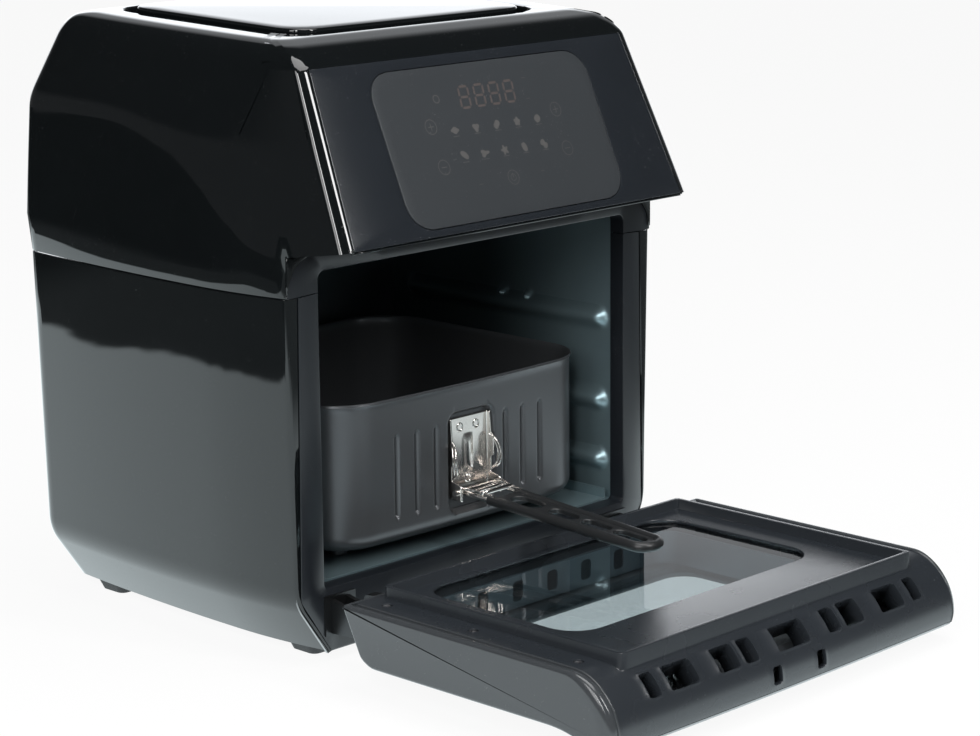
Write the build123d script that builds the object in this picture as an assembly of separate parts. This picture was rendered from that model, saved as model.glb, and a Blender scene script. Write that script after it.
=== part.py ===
from build123d import *
import os
from math import atan2, cos, degrees, hypot, pi, radians, sin

os.makedirs("parts", exist_ok=True)

# Frame: x to the right, y to the back, z up, millimetres.
# The front frame's face is the plane y = 0 and the feet stand on z = 0.
# The door is open, as a shelf in front, and the basket is in the cavity.

# Outer casing
FRAME_HALF = 156.0
BASE_Z = 7.0
CHAMFER_Z = 41.0
SEAM_Z = 220.6
SEAM_GAP = 0.4
WALL = 2.5
BELLY_Y = 70.0
BELLY = 7.0
REAR_Y = 244.5
REAR_CORNER = 16.0
REAR_TAPER = 7.5
FOOT_TAPER = 4.0
UNDERCUT = 28.0

# Top and sloping front
TOP_Z = 363.6
TOP_TILT = 0.035
TILT_Y = 100.0
PANEL_FOOT_Y = -40.0
PANEL_FOOT_Z = 250.0
PANEL_HEAD_Y = 4.0
PANEL_HEAD_Z = 348.0
PANEL_HALF_FOOT = 140.0
PANEL_HALF_HEAD = 131.0
BORDER = 7.3
BORDER_SET = 3.0
CHEEK_DROP = 5.6

# Front opening and cavity
OPEN_HALF = 131.0
SILL_Z = 45.4
HEAD_Z = 233.3
ARCH_Z = 244.2
ARCH_RADIUS = 21.0
FRAME_THICK = 3.0
RETURN_DEPTH = 11.0
RETURN_WALL = 1.6
LINER = 0.8
CAVITY_BACK_Y = 212.0
CAVITY_TOP_Z = 256.0
SEAT = 0.3

# Runners pressed in the side walls
RUNNER_Z = (70.5, 110.0, 164.0)
RUNNER_RADIUS = 6.0
RUNNER_FRONT_Y = 16.0
RUNNER_BACK_Y = 196.0
SPIT_Y = 95.0
SPIT_Z = 170.0
SPIT_GAP = 20.0

# Door, drawn open
HINGE_Y = -24.9
HINGE_Z = 26.7
PIN_RADIUS = 3.0
PIN_PLAY = 0.05
DOOR_HALF = FRAME_HALF
DOOR_FACE_Z = 50.6
DOOR_FOOT_Y = -40.0
DOOR_HEEL_Y = -55.0
DOOR_HEEL_Z = 21.0
DOOR_OUT_Z = 17.0
DOOR_FLARE_Y = -196.0
DOOR_LIP_Z = 9.5
DOOR_END_Y = -247.0
DOOR_END_BOW = 2.0
DOOR_CORNER = 8.0
DOOR_WALL = 2.5
RIM_SIDE_GAP = 1.7
RIM_SILL_GAP = 3.4
RIM_HEAD_GAP = 3.5
RIM_HALF = OPEN_HALF - RIM_SIDE_GAP
RIM_NEAR_Y = HINGE_Y + HINGE_Z - SILL_Z - RIM_SILL_GAP
RIM_FAR_Y = HINGE_Y + HINGE_Z - HEAD_Z + RIM_HEAD_GAP
RIM_TOP_Z = 57.0
RIM_WALL = 3.0
PLATE_THICK = 2.5
WINDOW_BORDER = 22.3
WINDOW_HALF = RIM_HALF - WINDOW_BORDER
WINDOW_NEAR_Y = -54.0
WINDOW_FAR_Y = -176.0
WINDOW_CORNER = 20.0
PANE_THICK = 4.0
PANE_LAP = 5.0

# Basket and its handle
BASKET_SIDE_GAP = 20.0
BASKET_HALF = OPEN_HALF - BASKET_SIDE_GAP
BASKET_FRONT_Y = 9.0
BASKET_BACK_Y = 198.0
BASKET_FLOOR_Z = 57.0
BASKET_RIM_Z = 146.5
BASKET_WALL = 1.2
BASKET_CORNER = 34.0
BASKET_BOW = 2.0
RIM_FLARE = 2.0
HANDLE_Y = 3.2
HANDLE_Z = 80.0
HANDLE_LENGTH = 145.5
HANDLE_DROP = 9.5
WIRE_RADIUS = 1.9
GRIP_RADIUS = 3.0

# Fan, motor and heater over the cavity
FAN_Y = 112.0
SHAFT_RADIUS = 3.0
SHAFT_PLAY = 0.05
SHIELD_Z = 268.0
MOTOR_RADIUS = 32.0


def block(x, y, z):
    """A box between two corners, each pair low then high."""
    middle = Pos((x[0] + x[1]) / 2, (y[0] + y[1]) / 2, (z[0] + z[1]) / 2)
    return middle * Box(x[1] - x[0], y[1] - y[0], z[1] - z[0])


def plate_xy(sketch, z0, z1):
    """A plan outline between two heights."""
    return extrude(Plane.XY.offset(z0) * sketch, amount=z1 - z0)


def plate_xz(sketch, y0, y1):
    """A front outline between two depths."""
    return extrude(Plane.XZ.offset(-y1) * sketch, amount=y1 - y0)


def plate_yz(sketch, x0, x1):
    """A side outline between two widths."""
    return extrude(Plane.YZ.offset(x0) * sketch, amount=x1 - x0)


def polygon(*points):
    return make_face(Polyline(*points, close=True))


def rounded(half, low, high, radius):
    """A rounded rectangle, symmetric about the first axis."""
    return Pos(0, (low + high) / 2) * RectangleRounded(2 * half, high - low, radius)


def drum(radius, x, y, z0, z1):
    return Pos(x, y, (z0 + z1) / 2) * Cylinder(radius, z1 - z0)


def bar_x(radius, x0, x1, y, z):
    """A round bar along x."""
    return Pos((x0 + x1) / 2, y, z) * Rot(0, 90, 0) * Cylinder(radius, abs(x1 - x0))


def bar_y(radius, x, y0, y1, z):
    """A round bar along y."""
    return Pos(x, (y0 + y1) / 2, z) * Rot(90, 0, 0) * Cylinder(radius, abs(y1 - y0))


def pair(shape):
    """The shape and its mirror image on the other side."""
    return [shape, mirror(shape, Plane.YZ)]


def solids_of(shape):
    """The separate solids of a shape or of a list of shapes."""
    if isinstance(shape, (list, tuple)):
        found = []
        for one in shape:
            found.extend(solids_of(one))
        return found
    return list(shape.solids())


nodes = {}


def node(name, *shapes):
    nodes[name] = solids_of(list(shapes))


# Outline of the casing at one height, as a closed wire.
# The front has a flat face, a border at each side of it and a facet to the side's crease.
# The side swells to its widest at its belly and narrows to the rear corner.
def casing_wire(z, tilt, face, border, crease, belly, rear, corner):
    def at(x, y):
        return (x, y, z + tilt * (y - TILT_Y))

    face_x, face_y = face
    border_x, border_y = border
    crease_x, crease_y = crease
    belly_x, belly_y = belly
    rear_x, rear_y = rear
    arc = corner * (1 - cos(pi / 4))
    edges = [Line(at(-face_x, face_y), at(face_x, face_y))]
    for s in (1, -1):
        edges += [
            Line(at(s * face_x, face_y), at(s * border_x, border_y)),
            Line(at(s * border_x, border_y), at(s * crease_x, crease_y)),
            TangentArc(at(s * belly_x, belly_y), at(s * crease_x, crease_y), tangent=(0, -1, -tilt)),
            TangentArc(at(s * belly_x, belly_y), at(s * rear_x, rear_y - corner), tangent=(0, 1, tilt)),
            ThreePointArc(
                at(s * rear_x, rear_y - corner),
                at(s * (rear_x - arc), rear_y - arc),
                at(s * (rear_x - corner), rear_y),
            ),
        ]
    edges.append(Line(at(-(rear_x - corner), rear_y), at(rear_x - corner, rear_y)))
    return Wire(edges)


def lower_wire(z, narrow, inset):
    """The casing below the seam, drawn in at its sides by narrow and all round by inset."""
    half = FRAME_HALF - narrow - inset
    front = inset
    step = 8.0
    return casing_wire(
        z,
        0.0,
        (half - 2 * step, front),
        (half - step, front),
        (half, front),
        (half + BELLY, BELLY_Y),
        (half + BELLY - REAR_TAPER, REAR_Y - inset),
        REAR_CORNER,
    )


def panel_half(z):
    """Half the sloping front's width at a height."""
    share = (z - PANEL_FOOT_Z) / (PANEL_HEAD_Z - PANEL_FOOT_Z)
    return PANEL_HALF_FOOT + share * (PANEL_HALF_HEAD - PANEL_HALF_FOOT)


def upper_wire(z, tilt, half, crease_y, rear_y, belly_y, inset, back_step=0.0, half_step=0.0):
    """The casing above the seam. back_step and half_step draw the front in where it rounds into the top."""
    slope = (PANEL_HEAD_Y - PANEL_FOOT_Y) / (PANEL_HEAD_Z - PANEL_FOOT_Z)
    level_y = PANEL_FOOT_Y + (z - tilt * TILT_Y - PANEL_FOOT_Z) * slope
    face_y = level_y / (1 - tilt * slope) + inset + back_step
    face_x = panel_half(z) - inset - half_step
    return casing_wire(
        z,
        tilt,
        (face_x, face_y),
        (face_x + BORDER, face_y + BORDER_SET),
        (half - 0.012 * half - inset, crease_y),
        (half - inset, belly_y),
        (half - REAR_TAPER * 0.6 - inset, rear_y - inset),
        REAR_CORNER,
    )


def upper_solid(inset):
    half = FRAME_HALF + BELLY
    top = TOP_Z - inset
    wires = [
        upper_wire(240.0, 0.0, half, 24.0, REAR_Y, 72.0, inset),
        upper_wire(322.0, 0.0, half - 6.5, 50.0, REAR_Y - 3.5, 95.0, inset),
        upper_wire(top - 12.0, TOP_TILT, half - 20.5, 40.0, REAR_Y - 13.0, 95.0, inset),
        upper_wire(top - 6.5, TOP_TILT, half - 23.5, 42.0, REAR_Y - 16.0, 95.0, inset, 4.5, 1.5),
        upper_wire(top - 2.5, TOP_TILT, half - 27.5, 46.0, REAR_Y - 20.0, 95.0, inset, 10.9, 4.5),
        upper_wire(top, TOP_TILT, half - 35.0, 54.0, REAR_Y - 27.5, 97.0, inset, 23.0, 12.0),
    ]
    return Solid.make_loft(wires, ruled=True)


def lower_solid(inset, z_top):
    wires = [
        lower_wire(BASE_Z + inset, UNDERCUT, inset),
        lower_wire(CHAMFER_Z, FOOT_TAPER, inset),
        lower_wire(z_top, 0.0, inset),
    ]
    return Solid.make_loft(wires, ruled=True)


# Lower shell: one moulding round the sides and back, open at the front and the bottom
STRIP_TOP = 147.0
STRIP_FOOT = 150.0
frame_outline = polygon(
    (-STRIP_TOP, SEAM_Z),
    (-STRIP_FOOT, CHAMFER_Z),
    (-(FRAME_HALF - UNDERCUT - 2), BASE_Z),
    (FRAME_HALF - UNDERCUT - 2, BASE_Z),
    (STRIP_FOOT, CHAMFER_Z),
    (STRIP_TOP, SEAM_Z),
)
lower_top = SEAM_Z - SEAM_GAP / 2
lower_shell = lower_solid(0.0, lower_top) - lower_solid(WALL, lower_top)
lower_shell -= plate_xz(frame_outline, -1.0, FRAME_THICK + 1.0)
BASE_HOLE_HALF = 108.0
BASE_HOLE_Y = (30.0, 222.0)
lower_shell -= block((-BASE_HOLE_HALF, BASE_HOLE_HALF), BASE_HOLE_Y, (BASE_Z - 1, BASE_Z + WALL + 1))

# Rear vent and cord inlet sit in holes in the lower shell's back
VENT_HALF = 62.0
VENT_HEIGHT = 56.0
VENT_UNDER_SEAM = 16.6
vent_top = SEAM_Z - VENT_UNDER_SEAM
VENT_Z = (vent_top - VENT_HEIGHT, vent_top)
VENT_LAP = 6.0
INLET_X = -104.0
INLET_Z = 62.0
INLET_RADIUS = 8.0
vent_hole = rounded(VENT_HALF - VENT_LAP, VENT_Z[0] + VENT_LAP, VENT_Z[1] - VENT_LAP, 4.0)
lower_shell -= plate_xz(vent_hole, REAR_Y - WALL - 1, REAR_Y + 1)
lower_shell -= bar_y(INLET_RADIUS, INLET_X, REAR_Y - WALL - 1, REAR_Y + 1, INLET_Z)
node("lower_shell", lower_shell)

vent_flange = plate_xz(rounded(VENT_HALF, VENT_Z[0], VENT_Z[1], 6.0), REAR_Y, REAR_Y + 2.0)
vent_plug = plate_xz(rounded(VENT_HALF - VENT_LAP - SEAT, VENT_Z[0] + VENT_LAP + SEAT,
                             VENT_Z[1] - VENT_LAP - SEAT, 3.7), REAR_Y - 6.0, REAR_Y)
rear_vent = vent_flange + vent_plug
SLAT_PITCH = 8.0
for k in range(5):
    z = VENT_Z[0] + VENT_LAP + 6.5 + k * SLAT_PITCH
    for x in (-36.0, 0.0, 36.0):
        rear_vent -= block((x - 15.5, x + 15.5), (REAR_Y - 8, REAR_Y + 4), (z - 2.2, z + 2.2))
node("rear_vent", rear_vent)

inlet = bar_y(INLET_RADIUS + 3, INLET_X, REAR_Y, REAR_Y + 2.0, INLET_Z)
inlet += bar_y(INLET_RADIUS - SEAT, INLET_X, REAR_Y - 7.0, REAR_Y, INLET_Z)
inlet -= bar_y(3.6, INLET_X, REAR_Y - 8, REAR_Y + 3, INLET_Z)
node("cord_inlet", inlet)

# Base plate lies on the lower shell's bottom flange, over its big hole
BASE_THICK = 1.2
base_z = BASE_Z + WALL
base_sheet = rounded(BASE_HOLE_HALF + 8, BASE_HOLE_Y[0] - 8, BASE_HOLE_Y[1] + 8, 6.0)
base_plate = plate_xy(base_sheet, base_z, base_z + BASE_THICK)
for row in range(6):
    y = 70.0 + row * 22
    for x in (-54.0, 0.0, 54.0):
        base_plate -= plate_xy(Pos(x, y) * SlotOverall(36.0, 5.0), base_z - 1, base_z + BASE_THICK + 1)
node("base_plate", base_plate)

# Cavity supports: two folded rails carry the liner on the base plate
RAIL_X = 88.0
liner_floor_z = SILL_Z + 0.1
rails = []
for y in (60.0, 180.0):
    rails.append(block((-RAIL_X, RAIL_X), (y - 8, y + 8), (base_z + BASE_THICK, liner_floor_z - LINER)))
rail_core = [block((-RAIL_X + 2, RAIL_X - 2), (y - 9, y + 9), (base_z + BASE_THICK + 1.5, liner_floor_z - LINER - 1.5))
             for y in (60.0, 180.0)]
node("cavity_rails", [rail - core for rail, core in zip(rails, rail_core)])

# Feet: rounded square rubber feet that taper towards the floor, each with its screw
FOOT_X = 114.0
FOOT_Y = (28.0, 208.0)
FOOT_TOP = 27.0
FOOT_BOTTOM = 21.0
SCREW_RADIUS = 1.75
feet = []
foot_screws = []
for x in (-FOOT_X, FOOT_X):
    for y in FOOT_Y:
        top = Plane.XY.offset(BASE_Z) * (Pos(x, y) * RectangleRounded(FOOT_TOP, FOOT_TOP, 6.0))
        bottom = Plane.XY * (Pos(x, y) * RectangleRounded(FOOT_BOTTOM, FOOT_BOTTOM, 4.5))
        foot = loft([bottom, top])
        feet.append(foot - drum(4.0, x, y, -1, 3.0) - drum(SCREW_RADIUS, x, y, 2, 8))
        foot_screws.append(drum(3.4, x, y, 1.4, 3.0) + drum(SCREW_RADIUS, x, y, 3.0, BASE_Z))
node("feet", feet)
node("foot_screws", foot_screws)

# Front frame: lower part with the stiles and the sill, upper part with the arched head
GAP = 0.4
lower_face = polygon(
    (-STRIP_TOP + GAP, SEAM_Z - SEAM_GAP / 2),
    (-STRIP_FOOT + GAP, CHAMFER_Z),
    (-(FRAME_HALF - UNDERCUT - 2) + GAP, BASE_Z + 0.3),
    (FRAME_HALF - UNDERCUT - 2 - GAP, BASE_Z + 0.3),
    (STRIP_FOOT - GAP, CHAMFER_Z),
    (STRIP_TOP - GAP, SEAM_Z - SEAM_GAP / 2),
) - rounded(OPEN_HALF, SILL_Z, SEAM_Z + 60, 3.0)
frame_lower = plate_xz(lower_face, 0.0, FRAME_THICK)
return_y = (FRAME_THICK - 0.5, RETURN_DEPTH)
for side in (-1, 1):
    inner = side * OPEN_HALF
    outer = side * (OPEN_HALF + RETURN_WALL)
    frame_lower += block(sorted((inner, outer)), return_y, (SILL_Z - RETURN_WALL, SEAM_Z - SEAM_GAP / 2))
frame_lower += block((-OPEN_HALF, OPEN_HALF), return_y, (SILL_Z - RETURN_WALL, SILL_Z))
node("front_frame_lower", frame_lower)

arch = polygon(
    (-FRAME_HALF + 1, SEAM_Z), (FRAME_HALF - 1, SEAM_Z), (FRAME_HALF - 1, ARCH_Z), (-FRAME_HALF + 1, ARCH_Z)
)
arch = fillet(arch.vertices().filter_by(lambda v: v.Y > ARCH_Z - 1), ARCH_RADIUS)
arch_cut = offset(arch, GAP)
head_hole = rounded(OPEN_HALF, SEAM_Z - 40, HEAD_Z, 5.0)
frame_upper = plate_xz(arch - head_hole, 0.0, FRAME_THICK)
frame_upper -= block((-200, 200), (-1, 20), (SEAM_Z - 1, SEAM_Z + SEAM_GAP / 2))
for side in (-1, 1):
    inner = side * OPEN_HALF
    outer = side * (OPEN_HALF + RETURN_WALL)
    frame_upper += block(sorted((inner, outer)), return_y, (SEAM_Z + SEAM_GAP / 2, HEAD_Z + RETURN_WALL))
frame_upper += block((-OPEN_HALF, OPEN_HALF), return_y, (HEAD_Z, HEAD_Z + RETURN_WALL))
node("front_frame_upper", frame_upper)

# Upper shell: side walls, back, top and the overhanging front
upper_bottom = SEAM_Z + SEAM_GAP / 2


def band(inset, z0, z1):
    wires = [lower_wire(z0, 0.0, inset), lower_wire(z1, 0.0, inset)]
    return Solid.make_loft(wires, ruled=True)


def cheek_cut(lower):
    """Space under the overhang: its floor line rises towards the front."""
    side = polygon(
        (PANEL_FOOT_Y - 20, PANEL_FOOT_Z + lower),
        (PANEL_FOOT_Y, PANEL_FOOT_Z + lower),
        (0.0, PANEL_FOOT_Z - CHEEK_DROP + lower),
        (0.0, 200.0),
        (PANEL_FOOT_Y - 20, 200.0),
    )
    return plate_yz(side, -200, 200)


UNDERSIDE_Z = 251.2
UNDERSIDE_HALF = 143.0
outer = upper_solid(0.0) - cheek_cut(0.0)
outer += band(0.0, upper_bottom, 244.0)
outer -= block((-UNDERSIDE_HALF, UNDERSIDE_HALF), (PANEL_FOOT_Y + 2.0, 0.0), (230.0, UNDERSIDE_Z))
inner = upper_solid(WALL) - block((-200, 200), (-100, WALL), (200.0, UNDERSIDE_Z + WALL))
inner += band(WALL, upper_bottom - 1, 244.0)
upper_shell = outer - inner
upper_shell -= plate_xz(arch_cut, -1.0, FRAME_THICK + 1.0)

# Control panel plate fills the sloping front between its borders
panel_length = hypot(PANEL_HEAD_Y - PANEL_FOOT_Y, PANEL_HEAD_Z - PANEL_FOOT_Z)
panel_up = ((PANEL_HEAD_Y - PANEL_FOOT_Y) / panel_length, (PANEL_HEAD_Z - PANEL_FOOT_Z) / panel_length)
PANEL = Plane(
    origin=(0, PANEL_FOOT_Y, PANEL_FOOT_Z),
    x_dir=(1, 0, 0),
    z_dir=(0, -panel_up[1], panel_up[0]),
)
PANEL_THICK = 3.0


def panel_trapezoid(shrink):
    return polygon(
        (-PANEL_HALF_FOOT + shrink, shrink * 0.5),
        (PANEL_HALF_FOOT - shrink, shrink * 0.5),
        (PANEL_HALF_HEAD - shrink, panel_length - shrink),
        (-PANEL_HALF_HEAD + shrink, panel_length - shrink),
    )


def on_panel(sketch, low, high):
    """A shape on the sloping front, between two heights over its plane."""
    return extrude(PANEL.offset(low) * sketch, amount=high - low)


upper_shell -= on_panel(panel_trapezoid(0.0), -PANEL_THICK, 3.0)
GLASS_HALF = 91.0
GLASS_FOOT = 5.0
GLASS_HEAD = 100.0
GLASS_CORNER = 17.0
GLASS_THICK = 1.4
GLASS_PROUD = 0.3
glass_seat = GLASS_PROUD - GLASS_THICK
panel_plate = on_panel(panel_trapezoid(GAP), -PANEL_THICK, 0.0)
panel_plate -= on_panel(rounded(GLASS_HALF + 0.2, GLASS_FOOT - 0.2, GLASS_HEAD + 0.2, GLASS_CORNER + 0.2), glass_seat, 1.0)
DISPLAY_HALF = 27.0
DISPLAY_FOOT = 70.0
DISPLAY_HEAD = 90.0
panel_plate -= on_panel(rounded(DISPLAY_HALF + 1, DISPLAY_FOOT - 1, DISPLAY_HEAD + 1, 1.0), -PANEL_THICK - 1, 1.0)
BOSS_X = 68.0
BOARD_FOOT = 36.0
BOARD_HEAD = 96.0
BOSS_U = (BOARD_FOOT + 7.0, BOARD_HEAD - 7.0)
BOARD_GAP = 8.0
for x in (-BOSS_X, BOSS_X):
    for u in BOSS_U:
        panel_plate += on_panel(Pos(x, u) * Circle(3.5), -PANEL_THICK - BOARD_GAP, -PANEL_THICK)
node("control_panel", panel_plate)
node("control_glass", on_panel(rounded(GLASS_HALF, GLASS_FOOT, GLASS_HEAD, GLASS_CORNER), glass_seat, GLASS_PROUD))
BOARD_THICK = 1.6
board_top = -PANEL_THICK - BOARD_GAP
node("control_board", on_panel(rounded(BOSS_X + 8, BOARD_FOOT, BOARD_HEAD, 2.0), board_top - BOARD_THICK, board_top))
node("display", on_panel(rounded(DISPLAY_HALF, DISPLAY_FOOT, DISPLAY_HEAD, 0.5), board_top, glass_seat - 0.1))

# Top cover: a raised plate in a pocket of the upper shell, with a groove all round it
COVER_HALF = 98.0
COVER_Y = (50.0, 206.0)
COVER_CORNER = 18.0
GROOVE = 8.5
POCKET_DEPTH = 5.0
COVER_PROUD = 2.0
tilt_angle = degrees(atan2(TOP_TILT, 1.0))
TOP = Plane(origin=(0, TILT_Y, TOP_Z), x_dir=(1, 0, 0), z_dir=(0, -sin(radians(tilt_angle)), cos(radians(tilt_angle))))


def on_top(grow, low, high):
    """A rounded rectangle on the tilted top, larger than the cover by grow."""
    outline = rounded(COVER_HALF + grow, COVER_Y[0] - TILT_Y - grow, COVER_Y[1] - TILT_Y + grow, COVER_CORNER + grow)
    return extrude(TOP.offset(low) * outline, amount=high - low)


upper_shell += on_top(GROOVE + WALL, -POCKET_DEPTH - WALL, -0.5)
upper_shell -= on_top(GROOVE, -POCKET_DEPTH, 3.0)
top_cover = on_top(0.0, -POCKET_DEPTH, COVER_PROUD)
top_cover -= on_top(-WALL, -POCKET_DEPTH - 1, COVER_PROUD - WALL)
node("top_cover", top_cover)

# Cavity liner: five bright steel sheets
LINER_HALF = OPEN_HALF + RETURN_WALL
liner_y = (RETURN_DEPTH + 0.2, CAVITY_BACK_Y)
node("cavity_floor", block((-LINER_HALF, LINER_HALF), liner_y, (liner_floor_z - LINER, liner_floor_z)))
node("cavity_back", block((-LINER_HALF, LINER_HALF), (CAVITY_BACK_Y, CAVITY_BACK_Y + LINER),
                          (liner_floor_z - LINER, CAVITY_TOP_Z)))


def runner(side, z, y0, y1):
    """A pressed shelf along the wall: a half-round rib with pointed ends."""
    x = side * LINER_HALF
    rib = bar_y(RUNNER_RADIUS, x, y0 + RUNNER_RADIUS, y1 - RUNNER_RADIUS, z)
    for y, turn in ((y0 + RUNNER_RADIUS, 90), (y1 - RUNNER_RADIUS, -90)):
        rib += Pos(x, y, z) * Rot(turn, 0, 0) * Pos(0, 0, RUNNER_RADIUS * 0.75) * Cone(RUNNER_RADIUS, 0.6, RUNNER_RADIUS * 1.5)
    inside = block(sorted((x + side * LINER, x - side * 20)), (y0 - 10, y1 + 10), (z - 20, z + 20))
    return rib & inside


def side_wall(side):
    x = sorted((side * LINER_HALF, side * (LINER_HALF + LINER)))
    wall = block(x, liner_y, (liner_floor_z - LINER, CAVITY_TOP_Z))
    for z in RUNNER_Z[:2]:
        wall += runner(side, z, RUNNER_FRONT_Y, RUNNER_BACK_Y)
    if side > 0:
        wall += runner(side, RUNNER_Z[2], RUNNER_FRONT_Y, RUNNER_BACK_Y)
        for y in (SPIT_Y - 11, SPIT_Y + 11):
            bump = Pos(side * (LINER_HALF - 4), y, RUNNER_Z[2] + RUNNER_RADIUS - 1) * Sphere(4.0)
            wall += bump & block((0, LINER_HALF), (0, 300), (0, 300))
    else:
        wall += runner(side, RUNNER_Z[2], RUNNER_FRONT_Y, SPIT_Y - SPIT_GAP)
        wall += runner(side, RUNNER_Z[2], SPIT_Y + SPIT_GAP, RUNNER_BACK_Y)
        wall -= bar_x(9.5, side * (LINER_HALF - 1), side * (LINER_HALF + 2), SPIT_Y, SPIT_Z)
    return wall


node("cavity_wall_left", side_wall(-1))
node("cavity_wall_right", side_wall(1))
SHAFT_HOLE = 9.0
cavity_top = block((-LINER_HALF - LINER, LINER_HALF + LINER), (liner_y[0], CAVITY_BACK_Y + LINER),
                   (CAVITY_TOP_Z, CAVITY_TOP_Z + LINER))
cavity_top += block((-LINER_HALF, LINER_HALF), (liner_y[0], liner_y[0] + LINER), (HEAD_Z, CAVITY_TOP_Z))
cavity_top -= drum(SHAFT_HOLE, 0, FAN_Y, CAVITY_TOP_Z - 1, CAVITY_TOP_Z + 2)
HEATER_LEGS = (-14.0, 14.0)
HEATER_TUBE = 3.2
HEATER_RADIUS = 80.0
leg_y = FAN_Y + HEATER_RADIUS
for x in HEATER_LEGS:
    cavity_top -= drum(HEATER_TUBE + 0.3, x, leg_y, CAVITY_TOP_Z - 1, CAVITY_TOP_Z + 2)
node("cavity_top", cavity_top)

# Heater: one bent tube round the fan, with both ends up through the cavity's top
HEATER_Z = 247.0
HEATER_LEG_TOP = 276.0
start_angle = degrees(atan2(HEATER_LEGS[1], HEATER_RADIUS))
loop_radius = hypot(HEATER_LEGS[1], HEATER_RADIUS)
ring_start = (HEATER_LEGS[1], leg_y, HEATER_Z)
ring_end = (HEATER_LEGS[0], leg_y, HEATER_Z)
ring = ThreePointArc(ring_start, (0, FAN_Y - loop_radius, HEATER_Z), ring_end)
ring_tube = sweep(Plane(origin=ring_start, z_dir=ring % 0) * Circle(HEATER_TUBE), path=ring)
heater = ring_tube
for x in HEATER_LEGS:
    heater += drum(HEATER_TUBE, x, leg_y, HEATER_Z, HEATER_LEG_TOP) + Pos(x, leg_y, HEATER_Z) * Sphere(HEATER_TUBE)
node("heating_element", heater)
CLIP_ANGLES = (20.0, 160.0, 270.0)
clip_foot = HEATER_Z - HEATER_TUBE - 0.3
strap = block((loop_radius - 5, loop_radius + 5), (-5, 5), (clip_foot - 1.0, CAVITY_TOP_Z))
strap -= block((loop_radius - 4, loop_radius + 4), (-6, 6), (clip_foot, CAVITY_TOP_Z - 1.2))
clips = [Pos(0, FAN_Y, 0) * Rot(0, 0, angle) * strap for angle in CLIP_ANGLES]
node("heater_clips", clips)

# Fan guard: a perforated sheet under the fan and heater, hung from the cavity's top
GUARD_Z = 236.5
GUARD_SIDE_GAP = 19.0
GUARD_HALF = OPEN_HALF - GUARD_SIDE_GAP
GUARD_Y = (FAN_Y - 94.0, FAN_Y + 94.0)
guard_sheet = Pos(0, FAN_Y) * RectangleRounded(2 * GUARD_HALF, GUARD_Y[1] - GUARD_Y[0], 20.0)
HOLE_RADIUS = 3.4
for ring_number in range(1, 7):
    count = 6 * ring_number
    with_radius = 12.5 * ring_number
    guard_sheet -= Pos(0, FAN_Y) * PolarLocations(with_radius, count) * Circle(HOLE_RADIUS)
guard_sheet -= Pos(0, FAN_Y) * Circle(HOLE_RADIUS)
fan_guard = plate_xy(guard_sheet, GUARD_Z, GUARD_Z + LINER)
POST_X = GUARD_HALF - 8.0
POST_DY = 80.0
for x in (-POST_X, POST_X):
    for dy in (-POST_DY, POST_DY):
        fan_guard += drum(3.0, x, FAN_Y + dy, GUARD_Z, CAVITY_TOP_Z)
node("fan_guard", fan_guard)

# Heat shield on four legs over the cavity, with the motor on it
SHIELD_THICK = 1.0
shield = block((-118.0, 118.0), (26.0, 204.0), (SHIELD_Z, SHIELD_Z + SHIELD_THICK))
for x in (-110.0, 110.0):
    for y in (34.0, 196.0):
        shield += block((x - 6, x + 6), (y - 6, y + 6), (CAVITY_TOP_Z + LINER, SHIELD_Z))
shield -= drum(SHAFT_HOLE, 0, FAN_Y, SHIELD_Z - 1, SHIELD_Z + 2)
for x in HEATER_LEGS:
    shield -= drum(HEATER_TUBE + 2.5, x, leg_y, SHIELD_Z - 1, SHIELD_Z + 2)
node("heat_shield", shield)
MOTOR_Z = (280.0, 304.0)
motor = drum(MOTOR_RADIUS, 0, FAN_Y, *MOTOR_Z) + drum(11.0, 0, FAN_Y, MOTOR_Z[0] - 4, MOTOR_Z[1] + 4)
motor = motor - drum(SHAFT_RADIUS + SHAFT_PLAY, 0, FAN_Y, MOTOR_Z[0] - 5, MOTOR_Z[1] + 5)
lug_radius = MOTOR_RADIUS + 6
for angle in (45, 135, 225, 315):
    x = lug_radius * cos(radians(angle))
    y = FAN_Y + lug_radius * sin(radians(angle))
    arm = Pos(0, FAN_Y, MOTOR_Z[0] + 1.5) * Rot(0, 0, angle) * Pos(lug_radius - 6, 0, 0) * Box(16, 9, 3)
    motor += arm + drum(4.5, x, y, MOTOR_Z[0], MOTOR_Z[0] + 3)
node("motor", motor)
posts = []
for angle in (45, 135, 225, 315):
    x = lug_radius * cos(radians(angle))
    y = FAN_Y + lug_radius * sin(radians(angle))
    posts.append(drum(3.5, x, y, SHIELD_Z + SHIELD_THICK, MOTOR_Z[0]))
node("motor_posts", posts)

# Shaft, with the hot-air fan below and the cooling fan above
SHAFT_Z = (240.5, 322.0)
node("motor_shaft", drum(SHAFT_RADIUS, 0, FAN_Y, *SHAFT_Z))


def fan(radius, z0, z1, hub, blades, lean):
    """A pressed fan: a hub, a disc and upright curved blades on it."""
    wheel = drum(hub, 0, FAN_Y, z0, z1) + drum(radius * 0.62, 0, FAN_Y, z1 - 1.0, z1)
    for k in range(blades):
        turn = Rot(0, 0, k * 360 / blades)
        blade = Pos(radius * 0.62, 0, (z0 + z1) / 2) * Rot(0, 0, lean) * Box(radius * 0.74, 1.0, z1 - z0)
        wheel += Pos(0, FAN_Y, 0) * turn * blade
    wheel -= drum(SHAFT_RADIUS, 0, FAN_Y, z0 - 1, z1 + 1)
    return wheel


node("hot_air_fan", fan(62.0, 243.0, 253.0, 8.0, 10, 18))
node("cooling_fan", fan(46.0, 311.0, 321.0, 8.0, 9, 22))

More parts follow.
